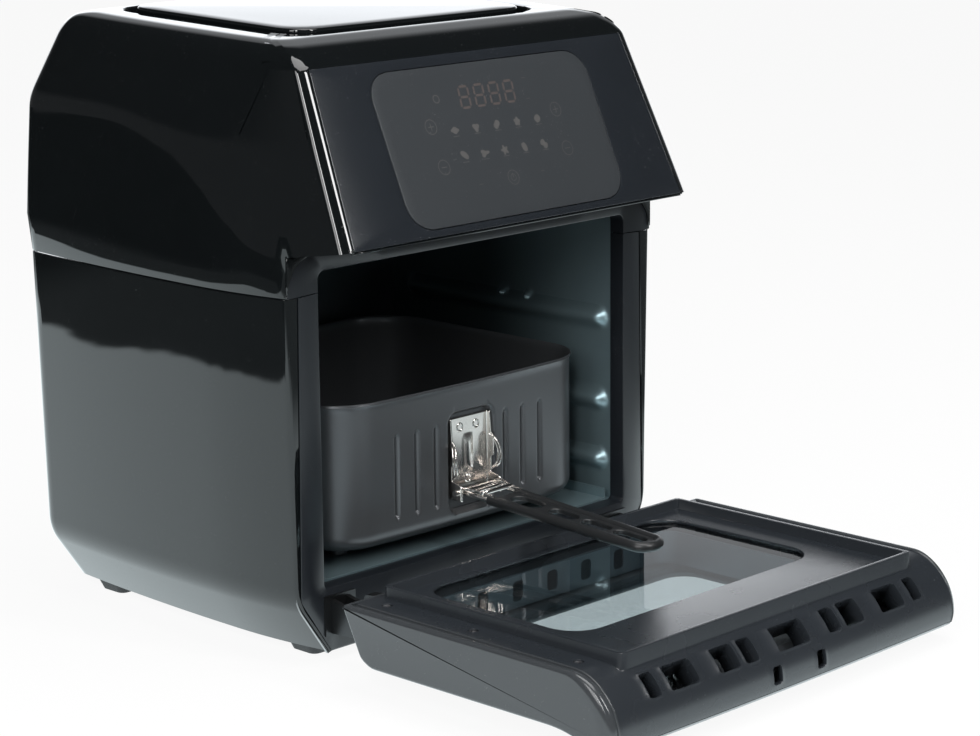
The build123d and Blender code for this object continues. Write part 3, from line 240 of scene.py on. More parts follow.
STRIP_TOP = 147.0
STRIP_CHAMFER = 150.0
UNDERCUT = 28.0
under_seam = SEAM_Z - SEAM_GAP
lower_rings = [
    lower_ring(under_seam - EDGE, 0.0, STRIP_TOP),
    lower_ring(CHAMFER_Z, 4.0, STRIP_CHAMFER),
    lower_ring(BASE_Z, UNDERCUT, FRONT_HALF - UNDERCUT - 1.5),
]
seam_edge = rounded_corner(
    lower_ring(under_seam, 0.0, STRIP_TOP, 2.5), lower_ring(under_seam, 0.0, STRIP_TOP), lower_rings[0],
    EDGE, 4)
seam_inside = lower_ring(under_seam, 0.0, STRIP_TOP, 2.4)
lower_skin = skin(np.concatenate([seam_inside[None], seam_edge, loft_rows(lower_rings, [9.0], 8)]))
BOTTOM_HALF = FRONT_HALF - UNDERCUT - 2
bottom_front = np.column_stack([np.linspace(-BOTTOM_HALF, BOTTOM_HALF, 24), np.full(24, 0.2)])
rim_points = np.concatenate([lower_rings[-1][2:-2], at_height(bottom_front, BASE_Z)])
BASE_HOLE_HALF = 108.0
BASE_HOLE_Y = (30.0, 222.0)


def rounded_loop(around, centre, half_width, half_height, corner):
    """A rounded rectangle whose points lie in the same directions from its centre as the points of around.
    Each direction meets the plain rectangle, and what falls in a corner's square is pulled in to the
    corner's arc."""
    away = around - centre
    size = np.array([half_width, half_height])
    square = away / np.max(np.abs(away) / size, axis=1, keepdims=True)
    inner = np.clip(square, -(size - corner), size - corner)
    outwards = square - inner
    length = np.linalg.norm(outwards, axis=1, keepdims=True)
    return centre + inner + outwards / np.maximum(length, 1e-9) * corner


base_centre = np.array([0.0, (BASE_HOLE_Y[0] + BASE_HOLE_Y[1]) / 2])
base_hole = rounded_loop(
    rim_points[:, :2], base_centre, BASE_HOLE_HALF, (BASE_HOLE_Y[1] - BASE_HOLE_Y[0]) / 2, 6.0)
bottom_skin = skin([rim_points, at_height(base_hole, BASE_Z)], closed=True, flipped=True)

# Nodes of the materials
# Each helper below adds nodes to a tree and hands back what the next one needs.


def feed(tree, node, inputs):
    """Gives a node its inputs, each by name or number: a socket is linked in, any other value is set."""
    for key, value in inputs.items():
        if isinstance(value, bpy.types.NodeSocket):
            tree.links.new(value, node.inputs[key])
        else:
            node.inputs[key].default_value = value


def add_node(tree, kind, inputs=None, **settings):
    """A new node with its settings and inputs."""
    node = tree.nodes.new(kind)
    for name, value in settings.items():
        setattr(node, name, value)
    feed(tree, node, inputs or {})
    return node


def maths(tree, operation, *values, clamp=False):
    """The result of a math node on values, each a number or a socket."""
    inputs = dict(enumerate(values))
    return add_node(tree, "ShaderNodeMath", inputs, operation=operation, use_clamp=clamp).outputs[0]


def smooth_range(tree, value, start, stop, first, last):
    """A smooth step: first where the value is at start, and last where it is at stop."""
    inputs = dict(enumerate((value, start, stop, first, last)))
    return add_node(tree, "ShaderNodeMapRange", inputs, interpolation_type="SMOOTHSTEP").outputs["Result"]


def mixed(tree, share, first, second):
    """The mix of two shaders, by the second one's share."""
    return add_node(tree, "ShaderNodeMixShader", {0: share, 1: first, 2: second}).outputs[0]


def blank_tree(block):
    """The emptied node tree of a material or a world."""
    block.use_nodes = True
    block.node_tree.nodes.clear()
    return block.node_tree


# The black gloss of the casing
# It is a mirror-smooth injection moulding with the faint waviness that such walls have, and a little dust.


def surface_life():
    """A node group that breaks up a plain finish: a slow drift of colour and gloss, and fine specks of
    dust. Its colour is the given one, lighter by Drift where a slow noise is high, and mixed with dust at
    the specks."""
    group = bpy.data.node_groups.new("surface_life", "ShaderNodeTree")
    for name, grey in (("Colour", 0.01), ("Dust Colour", 0.2)):
        socket = group.interface.new_socket(name, in_out="INPUT", socket_type="NodeSocketColor")
        socket.default_value = (grey, grey, grey, 1)
    for name, value in (("Drift", 0.2), ("Dust", 0.3), ("Roughness", 0.1), ("Gloss Drift", 0.05),
                        ("Wave Size", 6.0), ("Grain Size", 900.0), ("Wave", 0.5), ("Grain", 0.1)):
        group.interface.new_socket(name, in_out="INPUT", socket_type="NodeSocketFloat").default_value = value
    for name, kind in (("Colour", "Color"), ("Roughness", "Float"), ("Height", "Float")):
        group.interface.new_socket(name, in_out="OUTPUT", socket_type="NodeSocket" + kind)
    given = add_node(group, "NodeGroupInput").outputs
    place = add_node(group, "ShaderNodeTexCoord").outputs["Object"]

    def noise(scale, detail):
        inputs = {"Vector": place, "Scale": scale, "Detail": detail}
        return add_node(group, "ShaderNodeTexNoise", inputs).outputs["Fac"]

    slow = noise(given["Wave Size"], 3.0)
    fine = noise(given["Grain Size"], 2.0)
    speck = maths(group, "GREATER_THAN", noise(1400.0, 0.0), 0.80)
    patch = maths(group, "MULTIPLY", speck, maths(group, "GREATER_THAN", noise(90.0, 2.0), 0.55))
    drift = maths(group, "MULTIPLY", given["Drift"], maths(group, "SUBTRACT", slow, 0.5))
    lighter = maths(group, "ADD", 1.0, drift)
    tint = add_node(group, "ShaderNodeVectorMath", {0: given["Colour"], "Scale": lighter}, operation="SCALE")
    dust = maths(group, "MULTIPLY", patch, given["Dust"], clamp=True)
    dusty = add_node(group, "ShaderNodeMix", {
        "Factor": dust, "A": tint.outputs[0], "B": given["Dust Colour"]}, data_type="RGBA")
    gloss = maths(group, "MULTIPLY", given["Gloss Drift"], maths(group, "SUBTRACT", noise(25.0, 4.0), 0.5))
    even = maths(group, "ADD", given["Roughness"], gloss)
    dull = maths(group, "ADD", even, maths(group, "MULTIPLY", patch, 0.3), clamp=True)
    waves = maths(group, "MULTIPLY", slow, given["Wave"])
    height = maths(group, "ADD", waves, maths(group, "MULTIPLY", fine, given["Grain"]))
    add_node(group, "NodeGroupOutput", {
        "Colour": dusty.outputs["Result"], "Roughness": dull, "Height": height})
    return group


life_group = surface_life()


def finish(name, colour, roughness, metallic=0.0, bump=0.1, coat=0.0, **life):
    """A material of one finish: the surface life group feeds its colour, roughness and bump."""
    material = bpy.data.materials.new(name)
    material.use_nodes = True
    tree = material.node_tree
    given = {"Colour": (*colour, 1.0), "Roughness": roughness}
    given.update({socket.replace("_", " ").title(): value for socket, value in life.items()})
    alive = add_node(tree, "ShaderNodeGroup", given, node_tree=life_group).outputs
    raised = add_node(tree, "ShaderNodeBump", {
        "Strength": bump, "Distance": 0.0005, "Height": alive["Height"]})
    feed(tree, tree.nodes["Principled BSDF"], {
        "Metallic": metallic, "Coat Weight": coat, "Coat Roughness": 0.04,
        "Base Color": alive["Colour"], "Roughness": alive["Roughness"], "Normal": raised.outputs["Normal"]})
    return material


black_gloss = finish("black_gloss", (0.004, 0.005, 0.0055), 0.035, bump=0.12, drift=0.4, dust=0.10,
                     gloss_drift=0.02, wave=1.0, grain=0.0, wave_size=9.0)
lower_shell = make_piece("casing_lower_shell", [lower_skin, bottom_skin], black_gloss, "casing",
                         ["lower_shell"])
thicken(lower_shell, WALL)


def cut_hole(piece, name, low, high):
    """Takes a box out of a piece with a Boolean modifier, and applies it."""
    corners = [(x, y, z) for x in (low[0], high[0]) for y in (low[1], high[1]) for z in (low[2], high[2])]
    sides = [(0, 1, 3, 2), (4, 6, 7, 5), (0, 4, 5, 1), (2, 3, 7, 6), (0, 2, 6, 4), (1, 5, 7, 3)]
    cutter_mesh = bpy.data.meshes.new(name)
    cutter_mesh.from_pydata(np.array(corners) * MM, [], sides)
    cutter = bpy.data.objects.new(name, cutter_mesh)
    bpy.context.scene.collection.objects.link(cutter)
    taken = piece.modifiers.new(name, "BOOLEAN")
    taken.operation = "DIFFERENCE"
    taken.object = cutter
    taken.solver = "EXACT"
    bpy.context.view_layer.update()
    solid = bpy.data.meshes.new_from_object(piece.evaluated_get(bpy.context.evaluated_depsgraph_get()))
    piece.modifiers.clear()
    piece.data = solid
    bpy.data.objects.remove(cutter)


cut_hole(lower_shell, "vent_hole", (-56.0, 236.0, 154.0), (56.0, 250.0, 198.0))
cut_hole(lower_shell, "inlet_hole", (-111.0, 236.0, 55.0), (-97.0, 250.0, 69.0))

# Casing, upper shell
# One glossy black moulding: the sides lean in over a crease, a facet at each side of the sloping front
# turns in from that crease, and the crown rounds over into the tilted top with the pocket for the cover.
TOP_Z = 363.6
TOP_TILT = 0.035
TILT_Y = 100.0
PANEL_FOOT = np.array([0.0, -40.0, 250.0])
PANEL_HEAD = np.array([0.0, 4.0, 348.0])
PANEL_HALF_FOOT = 140.0
PANEL_HALF_HEAD = 131.0
BORDER = 7.3
BORDER_SET = 3.0
UNDERSIDE_Z = 251.2
FACET_SHARES = np.array([0.06, 0.2, 0.34, 0.48, 0.589, 0.7, 0.8])
slope = (PANEL_HEAD[1] - PANEL_FOOT[1]) / (PANEL_HEAD[2] - PANEL_FOOT[2])


def upper_half_ring(height, half, crease_y, belly_y, rear_y, front_step=0.0, narrower=0.0, inset=0.0):
    """Right half of the upper shell's outline. height gives z from y, so a ring may tilt or bend with the
    depth. In order: the front face, the two rounded edges of its border, the facet, the soft crease, the
    side, the back."""
    face_y = 0.0
    for _ in range(6):
        z = height(face_y)
        face_y = PANEL_FOOT[1] + (z - PANEL_FOOT[2]) * slope + front_step
    share = (height(face_y) - PANEL_FOOT[2]) / (PANEL_HEAD[2] - PANEL_FOOT[2])
    face_x = PANEL_HALF_FOOT + share * (PANEL_HALF_HEAD - PANEL_HALF_FOOT) - narrower
    face = np.array([face_x, face_y])
    border = np.array([face_x + BORDER, face_y + BORDER_SET])
    belly = (half - inset, belly_y)
    crease = np.array([half - 0.012 * half - inset, crease_y])
    rear = (half - REAR_TAPER * 0.6 - inset, rear_y - inset)
    start_y = crease_y + 12.0
    start = np.array([float(side_line(np.array(start_y), crease, belly, rear, REAR_CORNER)), start_y])
    front = np.column_stack([np.array([0.0, 0.25, 0.5, 0.75]) * face_x, np.full(4, face_y)])
    facet = border + (crease - border) * FACET_SHARES[:, None]
    points = np.concatenate([
        front,
        rounded_corner(front[0], face, border, 3.1, 5),
        rounded_corner(face, border, crease, 3.3, 5),
        facet,
        rounded_corner(border, crease, start, 12.0, 6),
        side_points(crease, belly, rear, REAR_CORNER, start_y)[1:],
    ])
    return np.column_stack([points, height(points[:, 1])])


def lip_height(y):
    """Where the side ends under the overhang: it rises towards the front, and is level behind the front
    frame."""
    return 244.4 - 0.14 * np.minimum(y, 0.0)


def crease_height(y):
    """The side's crease: lowest where it meets the facet, and higher towards the back."""
    return 304.0 + 13.0 * eased((y - 54.0) / 110.0)


def tilted(level):
    return lambda y: level + TOP_TILT * (y - TILT_Y)


wide = FRONT_HALF + BELLY
low_ring = upper_half_ring(lip_height, wide, 26.0, 74.0, REAR_Y)
knuckles = [
    low_ring,
    upper_half_ring(lambda y: 272.0 + 0.0 * y, wide - 1.4, 43.0, 84.0, REAR_Y - 0.8),
    upper_half_ring(crease_height, wide - 4.0, 54.0, 95.0, REAR_Y - 2.6),
    upper_half_ring(tilted(TOP_Z - 12.1), wide - 20.5, 38.0, 95.0, REAR_Y - 13.0),
    upper_half_ring(tilted(TOP_Z - 6.5), wide - 23.5, 38.0, 95.0, REAR_Y - 16.0, 4.5, 1.5),
    upper_half_ring(tilted(TOP_Z - 2.0), wide - 27.5, 41.0, 95.0, REAR_Y - 20.0, 11.5, 4.5),
    upper_half_ring(tilted(TOP_Z), wide - 35.0, 52.0, 97.0, REAR_Y - 27.5, 25.0, 12.0),
]
upper_rings = [both_sides(ring, open_front=False) for ring in knuckles]
COVER_HALF = 98.0
COVER_Y = (50.0, 206.0)
COVER_CORNER = 18.0
GROOVE = 8.5
POCKET_DEPTH = 5.0
cover_centre = np.array([0.0, (COVER_Y[0] + COVER_Y[1]) / 2])


def cover_loop(around, grow, depth):
    """The cover's outline, larger by grow, at a depth under the tilted top."""
    loop = rounded_loop(around[:, :2], cover_centre, COVER_HALF + grow, (COVER_Y[1] - COVER_Y[0]) / 2 + grow,
                        COVER_CORNER + grow)
    return np.column_stack([loop, tilted(TOP_Z - depth)(loop[:, 1])])


top_ring = upper_rings[-1]
upper_rings += [cover_loop(top_ring, GROOVE, 0.0), cover_loop(top_ring, GROOVE, POCKET_DEPTH),
                cover_loop(top_ring, 0.4, POCKET_DEPTH)]
reaches = [14.0, 7.0, 2.5, 4.0, 4.0, 6.0, 1.0, 0.8]
KNUCKLE_STEPS = 6
rows = loft_rows(upper_rings, reaches, KNUCKLE_STEPS)
quads = grid_quads(rows.shape[0], rows.shape[1], closed=True)
columns = rows.shape[1]
row_of = quads[:, 0] // columns
column_of = quads[:, 0] % columns
head_row = 1 + 3 * (KNUCKLE_STEPS + 1) - KNUCKLE_STEPS // 2 - 1
FACE_COLUMN = 6
in_front = (column_of < FACE_COLUMN) | (column_of >= columns - FACE_COLUMN)
upper_skin = (rows, quads[~(in_front & (row_of < head_row))])
corner_column = 16 + int(np.argmin(np.abs(low_ring[16:23, 1])))
band_top = low_ring[corner_column:]


def band_ring(z, inset=0.0):
    """The upper shell's outline between the seam and the overhang, point for point under the ring above
    it."""
    share = (z - SEAM_Z) / (band_top[0, 2] - SEAM_Z)
    lower = band_top.copy()
    base_belly = (FRONT_HALF + BELLY, BELLY_Y)
    side = band_top[:, 1] < REAR_Y - REAR_CORNER
    lower[side, 0] = side_line(band_top[side, 1], (FRONT_HALF, 0.0), base_belly,
                               (FRONT_HALF + BELLY - REAR_TAPER, REAR_Y), REAR_CORNER)
    lower[~side, 0] -= (band_top[~side, 0] > 100) * (REAR_TAPER * 0.4)
    ring = lower * (1 - share) + band_top * share
    ring[:, 0] -= inset
    ring[ring[:, 0] < 0, 0] = 0.0
    ring[:, 1] = np.minimum(ring[:, 1], REAR_Y - inset)
    ring[:, 2] = z
    return ring


band_rows = [band_ring(SEAM_Z + SEAM_GAP, 2.4), band_ring(SEAM_Z + SEAM_GAP, 0.5),
             band_ring(SEAM_Z + 0.4, 0.15), band_ring(SEAM_Z + 1.0), band_ring(232.0), band_top]
band_skin = skin([both_sides(row) for row in band_rows], flipped=True)


def lip_shelf(side):
    """The narrow floor of the overhang's cheek: the lip's line, the same drawn in to the recess, and up to
    its roof."""
    lip = low_ring[6:corner_column + 1] * np.array([side, 1, 1])
    inner = lip.copy()
    inner[:, 0] = side * PANEL_HALF_FOOT
    roof = inner.copy()
    roof[:, 2] = UNDERSIDE_Z
    return skin([lip, inner, roof], flipped=side < 0)


def roof_of_overhang():
    """The recess's roof, flat behind the lip, with its front edge rounded down to the panel's foot."""
    across_x = np.linspace(-PANEL_HALF_FOOT, PANEL_HALF_FOOT, 29)
    profile = ((-39.3, 249.6), (-38.6, 249.5), (-37.8, 249.9), (-37.2, 250.8), (-36.2, UNDERSIDE_Z),
               (-18.0, UNDERSIDE_Z), (-1.0, UNDERSIDE_Z), (-0.4, 250.6), (-0.3, 244.0))
    return skin([[(x, y, z) for x in across_x] for y, z in profile])


ARCH_HALF = 155.0
ARCH_TOP = 244.2
ARCH_RADIUS = 21.0
SPANDREL_TOP = 245.2


def spandrel(side):
    """The flat front between the arch's round corner and the shell's edge: the arc joined to the straight
    outline."""
    turn = np.linspace(0.0, pi / 2, 12)
    below = turn < pi / 4
    arc_x = ARCH_HALF - ARCH_RADIUS + (ARCH_RADIUS + 0.4) * np.cos(turn)
    arc_z = ARCH_TOP - ARCH_RADIUS + (ARCH_RADIUS + 0.4) * np.sin(turn)
    outer_x = np.where(below, FRONT_HALF, ARCH_HALF - ARCH_RADIUS + (arc_x - arc_x[-1]) * 1.6)
    outer_z = np.where(below, ARCH_TOP - ARCH_RADIUS + (arc_z - arc_z[0]) * 1.6, SPANDREL_TOP)
    outer_z = np.minimum(outer_z, SPANDREL_TOP)
    edge_x = np.interp(outer_z, (SEAM_Z, band_top[0, 2]), (FRONT_HALF, band_top[0, 0]))
    outer_x = np.minimum(outer_x, edge_x - 0.05)
    rows = [np.column_stack([side * x, np.full(12, y), z])
            for x, y, z in ((arc_x, 3.0, arc_z), (arc_x, 0.25, arc_z), (outer_x, 0.05, outer_z))]
    return skin(rows, flipped=side > 0)


upper_shell = make_piece(
    "casing_upper_shell",
    [upper_skin, band_skin, lip_shelf(1), lip_shelf(-1), roof_of_overhang(), spandrel(1), spandrel(-1)],
    black_gloss, "casing", ["upper_shell"])
thicken(upper_shell, 1.2)

# Top cover
# A raised flat plate of the same gloss black, with rounded edges, clipped into the pocket of the top.
cover_around = circle(160) * 100 + cover_centre
COVER_PROUD = 2.0
cover_rows = loft_rows([
    cover_loop(cover_around, 0.0, POCKET_DEPTH), cover_loop(cover_around, 0.0, -COVER_PROUD),
    cover_loop(cover_around, -9.0, -COVER_PROUD - 0.5)], [1.6], 6)
make_piece("casing_top_cover", [capped(cover_rows)], black_gloss, "casing", ["top_cover"])

# Control panel
# The sloping front is a separate satin black plate, cut out for the touch glass and snapped in from behind.
panel_up = (PANEL_HEAD - PANEL_FOOT) / np.linalg.norm(PANEL_HEAD - PANEL_FOOT)
panel_out = np.array([0.0, -panel_up[2], panel_up[1]])
PANEL_LENGTH = float(np.linalg.norm(PANEL_HEAD - PANEL_FOOT))
GLASS_HALF = 91.0
GLASS_FOOT = 5.0
GLASS_HEAD = 100.0
GLASS_CORNER = 17.0
GLASS_GAP = 0.45


def on_panel(flat, out=0.0):
    """Points given as x and the height up the slope, at a distance out of the panel's plane."""
    flat = np.asarray(flat, float)
    return PANEL_FOOT + flat[..., :1] * np.array([1.0, 0, 0]) + flat[..., 1:2] * panel_up + out * panel_out


def trapezoid(count, inset):
    """Evenly spaced points round the panel's outline, drawn in by inset."""
    foot, head = PANEL_HALF_FOOT - inset, PANEL_HALF_HEAD - inset
    top = PANEL_LENGTH - inset
    corners = np.array([(-foot, inset), (foot, inset), (head, top), (-head, top), (-foot, inset)])
    share = np.linspace(0, 4, 4 * count, endpoint=False)
    k = share.astype(int)
    return corners[k] + (corners[k + 1] - corners[k]) * (share - k)[:, None]


SIDE_COUNT = 40
outline = trapezoid(SIDE_COUNT, 0.3)
glass_centre = np.array([0.0, (GLASS_FOOT + GLASS_HEAD) / 2])


def glass_loop(grow, out):
    loop = rounded_loop(outline, glass_centre, GLASS_HALF + grow, (GLASS_HEAD - GLASS_FOOT) / 2 + grow,
                        GLASS_CORNER + grow)
    return on_panel(loop, out)


panel_rows = [
    on_panel(outline, -3.0), on_panel(outline, -0.5), on_panel(trapezoid(SIDE_COUNT, 0.5), -0.12),
    on_panel(trapezoid(SIDE_COUNT, 0.85), 0.0), glass_loop(GLASS_GAP + 3.0, 0.0),
    glass_loop(GLASS_GAP + 0.5, 0.0), glass_loop(GLASS_GAP + 0.12, -0.12), glass_loop(GLASS_GAP, -0.5),
    glass_loop(GLASS_GAP, -1.5), glass_loop(-4.0, -1.5)]
panel_satin = finish("panel_satin", (0.012, 0.0145, 0.018), 0.22, bump=0.10, drift=0.25, dust=0.25,
                     gloss_drift=0.08, wave=0.3, grain=0.5, grain_size=1500.0, wave_size=14.0)
make_piece("control_panel_plate", [skin(panel_rows, closed=True)], panel_satin, "casing",
           ["control_panel"])

# Touch glass
# A smoked sheet with polished edges, glued in the plate's pocket. It shows grey.
glass_rows = [glass_loop(0.0, -1.4), glass_loop(0.0, 0.0), glass_loop(-0.15, 0.22), glass_loop(-0.55, 0.3),
              glass_loop(-6.0, 0.3)]
smoked = finish("smoked_glass", (0.030, 0.0335, 0.037), 0.30, bump=0.02, drift=0.15, dust=0.35,
                gloss_drift=0.06, wave=0.2, grain=0.0, coat=0.25)
make_piece("touch_glass", [capped(glass_rows)], smoked, "casing", ["control_glass"])

# Printed symbols and digits
# Thin prints on the glass: two pairs of plus and minus keys, a power key, two rows of food keys, four
# digits.
PRINT_OUT = 0.31


def flat_ring(centre, radius, width):
    """A flat ring: two circles joined by quads."""
    return skin([on_panel(centre + circle(28) * r, PRINT_OUT) for r in (radius, radius - width)], closed=True)


def flat_shape(points):
    return on_panel(points, PRINT_OUT), [list(range(len(points)))]


def flat_bar(start, end, width):
    """A stroke with square ends, given by its middle line."""
    start, end = np.array(start, float), np.array(end, float)
    along = (end - start) / np.linalg.norm(end - start)
    aside = np.array([-along[1], along[0]]) * width / 2
    return flat_shape(np.array([start - aside, end - aside, end + aside, start + aside]))


def key_place(x, down):
    """A place on the glass from its middle and its distance down from the glass's head."""
    return np.array([x, GLASS_HEAD + 7.4 - down])


prints = []
sign_keys = ((-53.0, 43.0, True), (53.0, 43.0, True), (-52.6, 67.7, False), (52.6, 67.7, False))
for x, down, has_upright in sign_keys:
    middle = key_place(x, down)
    prints.append(flat_ring(middle, 4.6, 0.35))
    prints.append(flat_bar(middle - (2.2, 0), middle + (2.2, 0), 0.4))
    if has_upright:
        prints.append(flat_bar(middle - (0, 2.2), middle + (0, 2.2), 0.4))
power = key_place(0.0, 80.0)
prints += [flat_ring(power, 4.6, 0.35), flat_ring(power, 2.2, 0.3), flat_bar(power, power + (0, 2.6), 0.4)]
prints.append(flat_ring(key_place(-42.0, 27.0), 2.6, 0.5))
for x, down in ((25.5, 79.0), (-27.6, 81.0), (34.0, 21.0), (33.0, 34.0)):
    prints.append(flat_bar(key_place(x, down) - (1.6, 0), key_place(x, down) + (1.6, 0), 0.3))


def food_shape(centre, lobes, depth, stretch, turned):
    """A food key's print: a closed curve r = 1 + depth cos(lobes t), stretched and turned."""
    t = np.linspace(0, tau, 36, endpoint=False)
    r = 2.5 * (1 + depth * np.cos(lobes * t))
    shape = np.column_stack([r * np.cos(t) * stretch, r * np.sin(t) / stretch])
    turn = np.array([[cos(turned), -sin(turned)], [sin(turned), cos(turned)]])
    return flat_shape(centre + shape @ turn.T)


food_forms = (
    (4, 0.12, 1.25, 0.0), (3, 0.22, 1.0, 0.5), (2, 0.35, 0.9, 0.8), (5, 0.18, 1.0, 0.2), (2, 0.25, 0.75, 2.2),
    (1, 0.45, 0.8, 0.9), (3, 0.30, 1.3, 0.1), (5, 0.30, 1.0, 0.6), (2, 0.20, 0.7, 0.3), (2, 0.55, 0.8, 2.3))
for k, form in enumerate(food_forms):
    if k < 5:
        middle = key_place(-35.0 + 17.5 * k, 47.0)
    else:
        middle = key_place(-34.0 + 17.0 * (k - 5), 63.0)
    prints.append(food_shape(middle, *form))
    prints.append(flat_bar(middle + (-2.6, -3.6), middle + (2.6, -3.6), 0.3))
print_ink = finish("symbol_print", (0.066, 0.065, 0.064), 0.4, bump=0.0, drift=0.6, dust=0.0)
make_piece("touch_symbols", prints, print_ink, "casing")

DIGIT_WIDTH = 7.6
DIGIT_HEIGHT = 13.0
DIGIT_PITCH = 12.6
SEGMENT = 1.5


def digit(centre):
    """Seven slanted segments. Each is a stroke with pointed ends, leaning with the height."""
    w, h, gap = DIGIT_WIDTH / 2, DIGIT_HEIGHT / 2, 0.5
    ends = [((-w, h), (w, h)), ((-w, 0), (w, 0)), ((-w, -h), (w, -h)), ((-w, 0), (-w, h)),
            ((-w, -h), (-w, 0)), ((w, 0), (w, h)), ((w, -h), (w, 0))]
    strokes = []
    for start, end in ends:
        start, end = np.array(start, float), np.array(end, float)
        along = (end - start) / np.linalg.norm(end - start)
        aside = np.array([-along[1], along[0]]) * SEGMENT / 2
        start, end = start + along * gap, end - along * gap
        shape = np.array([start, start + along * 0.7 - aside, end - along * 0.7 - aside, end,
                          end - along * 0.7 + aside, start + along * 0.7 + aside])
        shape[:, 0] += 0.12 * shape[:, 1]
        strokes.append(flat_shape(centre + shape))
    return strokes


digits = []
for k in range(4):
    digits += digit(key_place(-DIGIT_PITCH * 1.5 + DIGIT_PITCH * k, 28.0))
digit_red = finish("digit_red", (0.056, 0.046, 0.044), 0.45, bump=0.0, drift=0.5, dust=0.0)
make_piece("display_digits", digits, digit_red, "casing")

# Front frame
# Two satin black mouldings round the cavity's mouth: a U with the stiles and the sill, and an arched head
# over it. The U's outer edge widens to the bottom chamfer and follows it in under the sill.
frame_satin = finish("frame_satin", (0.0095, 0.0115, 0.0145), 0.30, bump=0.10, drift=0.3, dust=0.3,
                     gloss_drift=0.08, wave=0.3, grain=0.6, grain_size=1500.0, wave_size=14.0)
OPEN_HALF = 131.0
SILL_Z = 45.4
HEAD_Z = 233.3
RETURN_DEPTH = 11.0
FRAME_BACK = 3.0


def frame_skin(inner, outer):
    """The frame's skin from the back of its return, round its inner edge and over its face, to its outer
    edge. Both lines run point for point through x and z. Each row is one of them, moved, at one depth."""
    centre = np.array([0.0, 140.0])
    away = inner - centre
    away = away / np.linalg.norm(away, axis=1, keepdims=True)
    steps = ((inner, 1.6, RETURN_DEPTH), (inner, 0.0, RETURN_DEPTH), (inner, 0.0, 0.9), (inner, 0.25, 0.25),
             (inner, 0.9, 0.0), (outer, -0.6, 0.0), (outer, -0.1, 0.3), (outer, 0.0, FRAME_BACK))
    rows = []
    for line, shift, y in steps:
        moved = line + shift * away
        rows.append(np.column_stack([moved[:, 0], np.full(len(moved), y), moved[:, 1]]))
    return skin(rows)


def mirrored_line(right):
    """A line of the right half, carried on through its mirror image."""
    return np.concatenate([right, right[::-1] * np.array([-1.0, 1.0])])


stile_z = np.linspace(220.4, SILL_Z + 3.0, 30)
inner_turn = np.linspace(0, pi / 2, 7)[1:]
inner_right = np.concatenate([
    np.column_stack([np.full(30, OPEN_HALF), stile_z]),
    np.column_stack([OPEN_HALF - 3 + 3 * np.cos(inner_turn), SILL_Z + 3 - 3 * np.sin(inner_turn)]),
    np.column_stack([np.linspace(OPEN_HALF - 6, 2.0, 14), np.full(14, SILL_Z)])])
outer_right = np.concatenate([
    np.column_stack([146.6 + 3.0 * (SEAM_Z - stile_z[:28]) / (SEAM_Z - CHAMFER_Z), stile_z[:28]]),
    [(149.6, 46.0), (149.6, 43.0), (149.6, 41.0), (145.8, 35.3), (142.0, 29.7), (138.3, 24.1), (134.5, 18.5),
     (130.8, 12.9), (127.0, 7.3)],
    np.column_stack([np.linspace(122.0, 2.0, 13), np.full(13, 7.3)])])
outer_right[:, 0] -= 0.4
lower_frame = frame_skin(mirrored_line(inner_right), mirrored_line(outer_right))
make_piece("front_frame_u", [lower_frame], frame_satin, "casing", ["front_frame_lower"])
head_turn = np.linspace(0, pi / 2, 9)
head_inner = np.concatenate([
    np.column_stack([np.full(4, OPEN_HALF), np.linspace(220.8, 227.6, 4)]),
    np.column_stack([OPEN_HALF - 5 + 5 * np.cos(head_turn), HEAD_Z - 5 + 5 * np.sin(head_turn)]),
    np.column_stack([np.linspace(OPEN_HALF - 8, 2.0, 12), np.full(12, HEAD_Z)])])
head_outer = np.concatenate([
    np.column_stack([np.full(4, ARCH_HALF), np.linspace(220.8, 223.0, 4)]),
    np.column_stack([ARCH_HALF - ARCH_RADIUS + ARCH_RADIUS * np.cos(head_turn),
                     ARCH_TOP - ARCH_RADIUS + ARCH_RADIUS * np.sin(head_turn)]),
    np.column_stack([np.linspace(ARCH_HALF - ARCH_RADIUS - 2, 2.0, 12), np.full(12, ARCH_TOP)])])
upper_frame = frame_skin(mirrored_line(head_inner), mirrored_line(head_outer))
make_piece("front_frame_arch", [upper_frame], frame_satin, "casing", ["front_frame_upper"])

# Door, its form
# Both shells of the open door lie on one rounded form: the side outline run across, with eased edges at the
# sides. A point of the form is given by x, by the length s along the outline and by its depth under the
# skin.
DOOR_HALF = 156.0
DOOR_FACE_Z = 50.6
DOOR_OUT_Z = 17.0
LIP_Z = 9.5
END_Y = -247.0
END_BOW = 2.0
DOOR_CORNER = 8.0
SIDE_EASE = 2.4
HEAD_Y = -214.0
CAP_X = 150.0
RIM_HALF = 129.3
RIM_Y = (-228.0, -47.0)
RIM_TOP_Z = 57.0
RIM_CORNER = 3.0
FLARE_Y = -196.0
FLARE_LENGTH = 44.0


def arc_through(first, middle, last, steps):
    """The circular arc through three points: its centre is where the two chords' upright bisectors cross."""
    first, middle, last = (np.array(p, float) for p in (first, middle, last))
    chords = np.array([middle - first, last - middle])
    halfway = np.array([(first + middle) / 2, (middle + last) / 2])
    centre = np.linalg.solve(chords, np.sum(chords * halfway, axis=1))
    radius = np.linalg.norm(first - centre)
    start, stop = (np.arctan2(*(p - centre)[::-1]) for p in (first, last))
    if start - stop > pi:
        stop += tau
    if stop - start > pi:
        stop -= tau
    turn = np.linspace(start, stop, steps + 1)
    return centre + radius * np.column_stack([np.cos(turn), np.sin(turn)])


def straight(first, last, steps):
    share = np.linspace(0, 1, steps + 1)[:, None]
    return np.array(first, float) * (1 - share) + np.array(last, float) * share


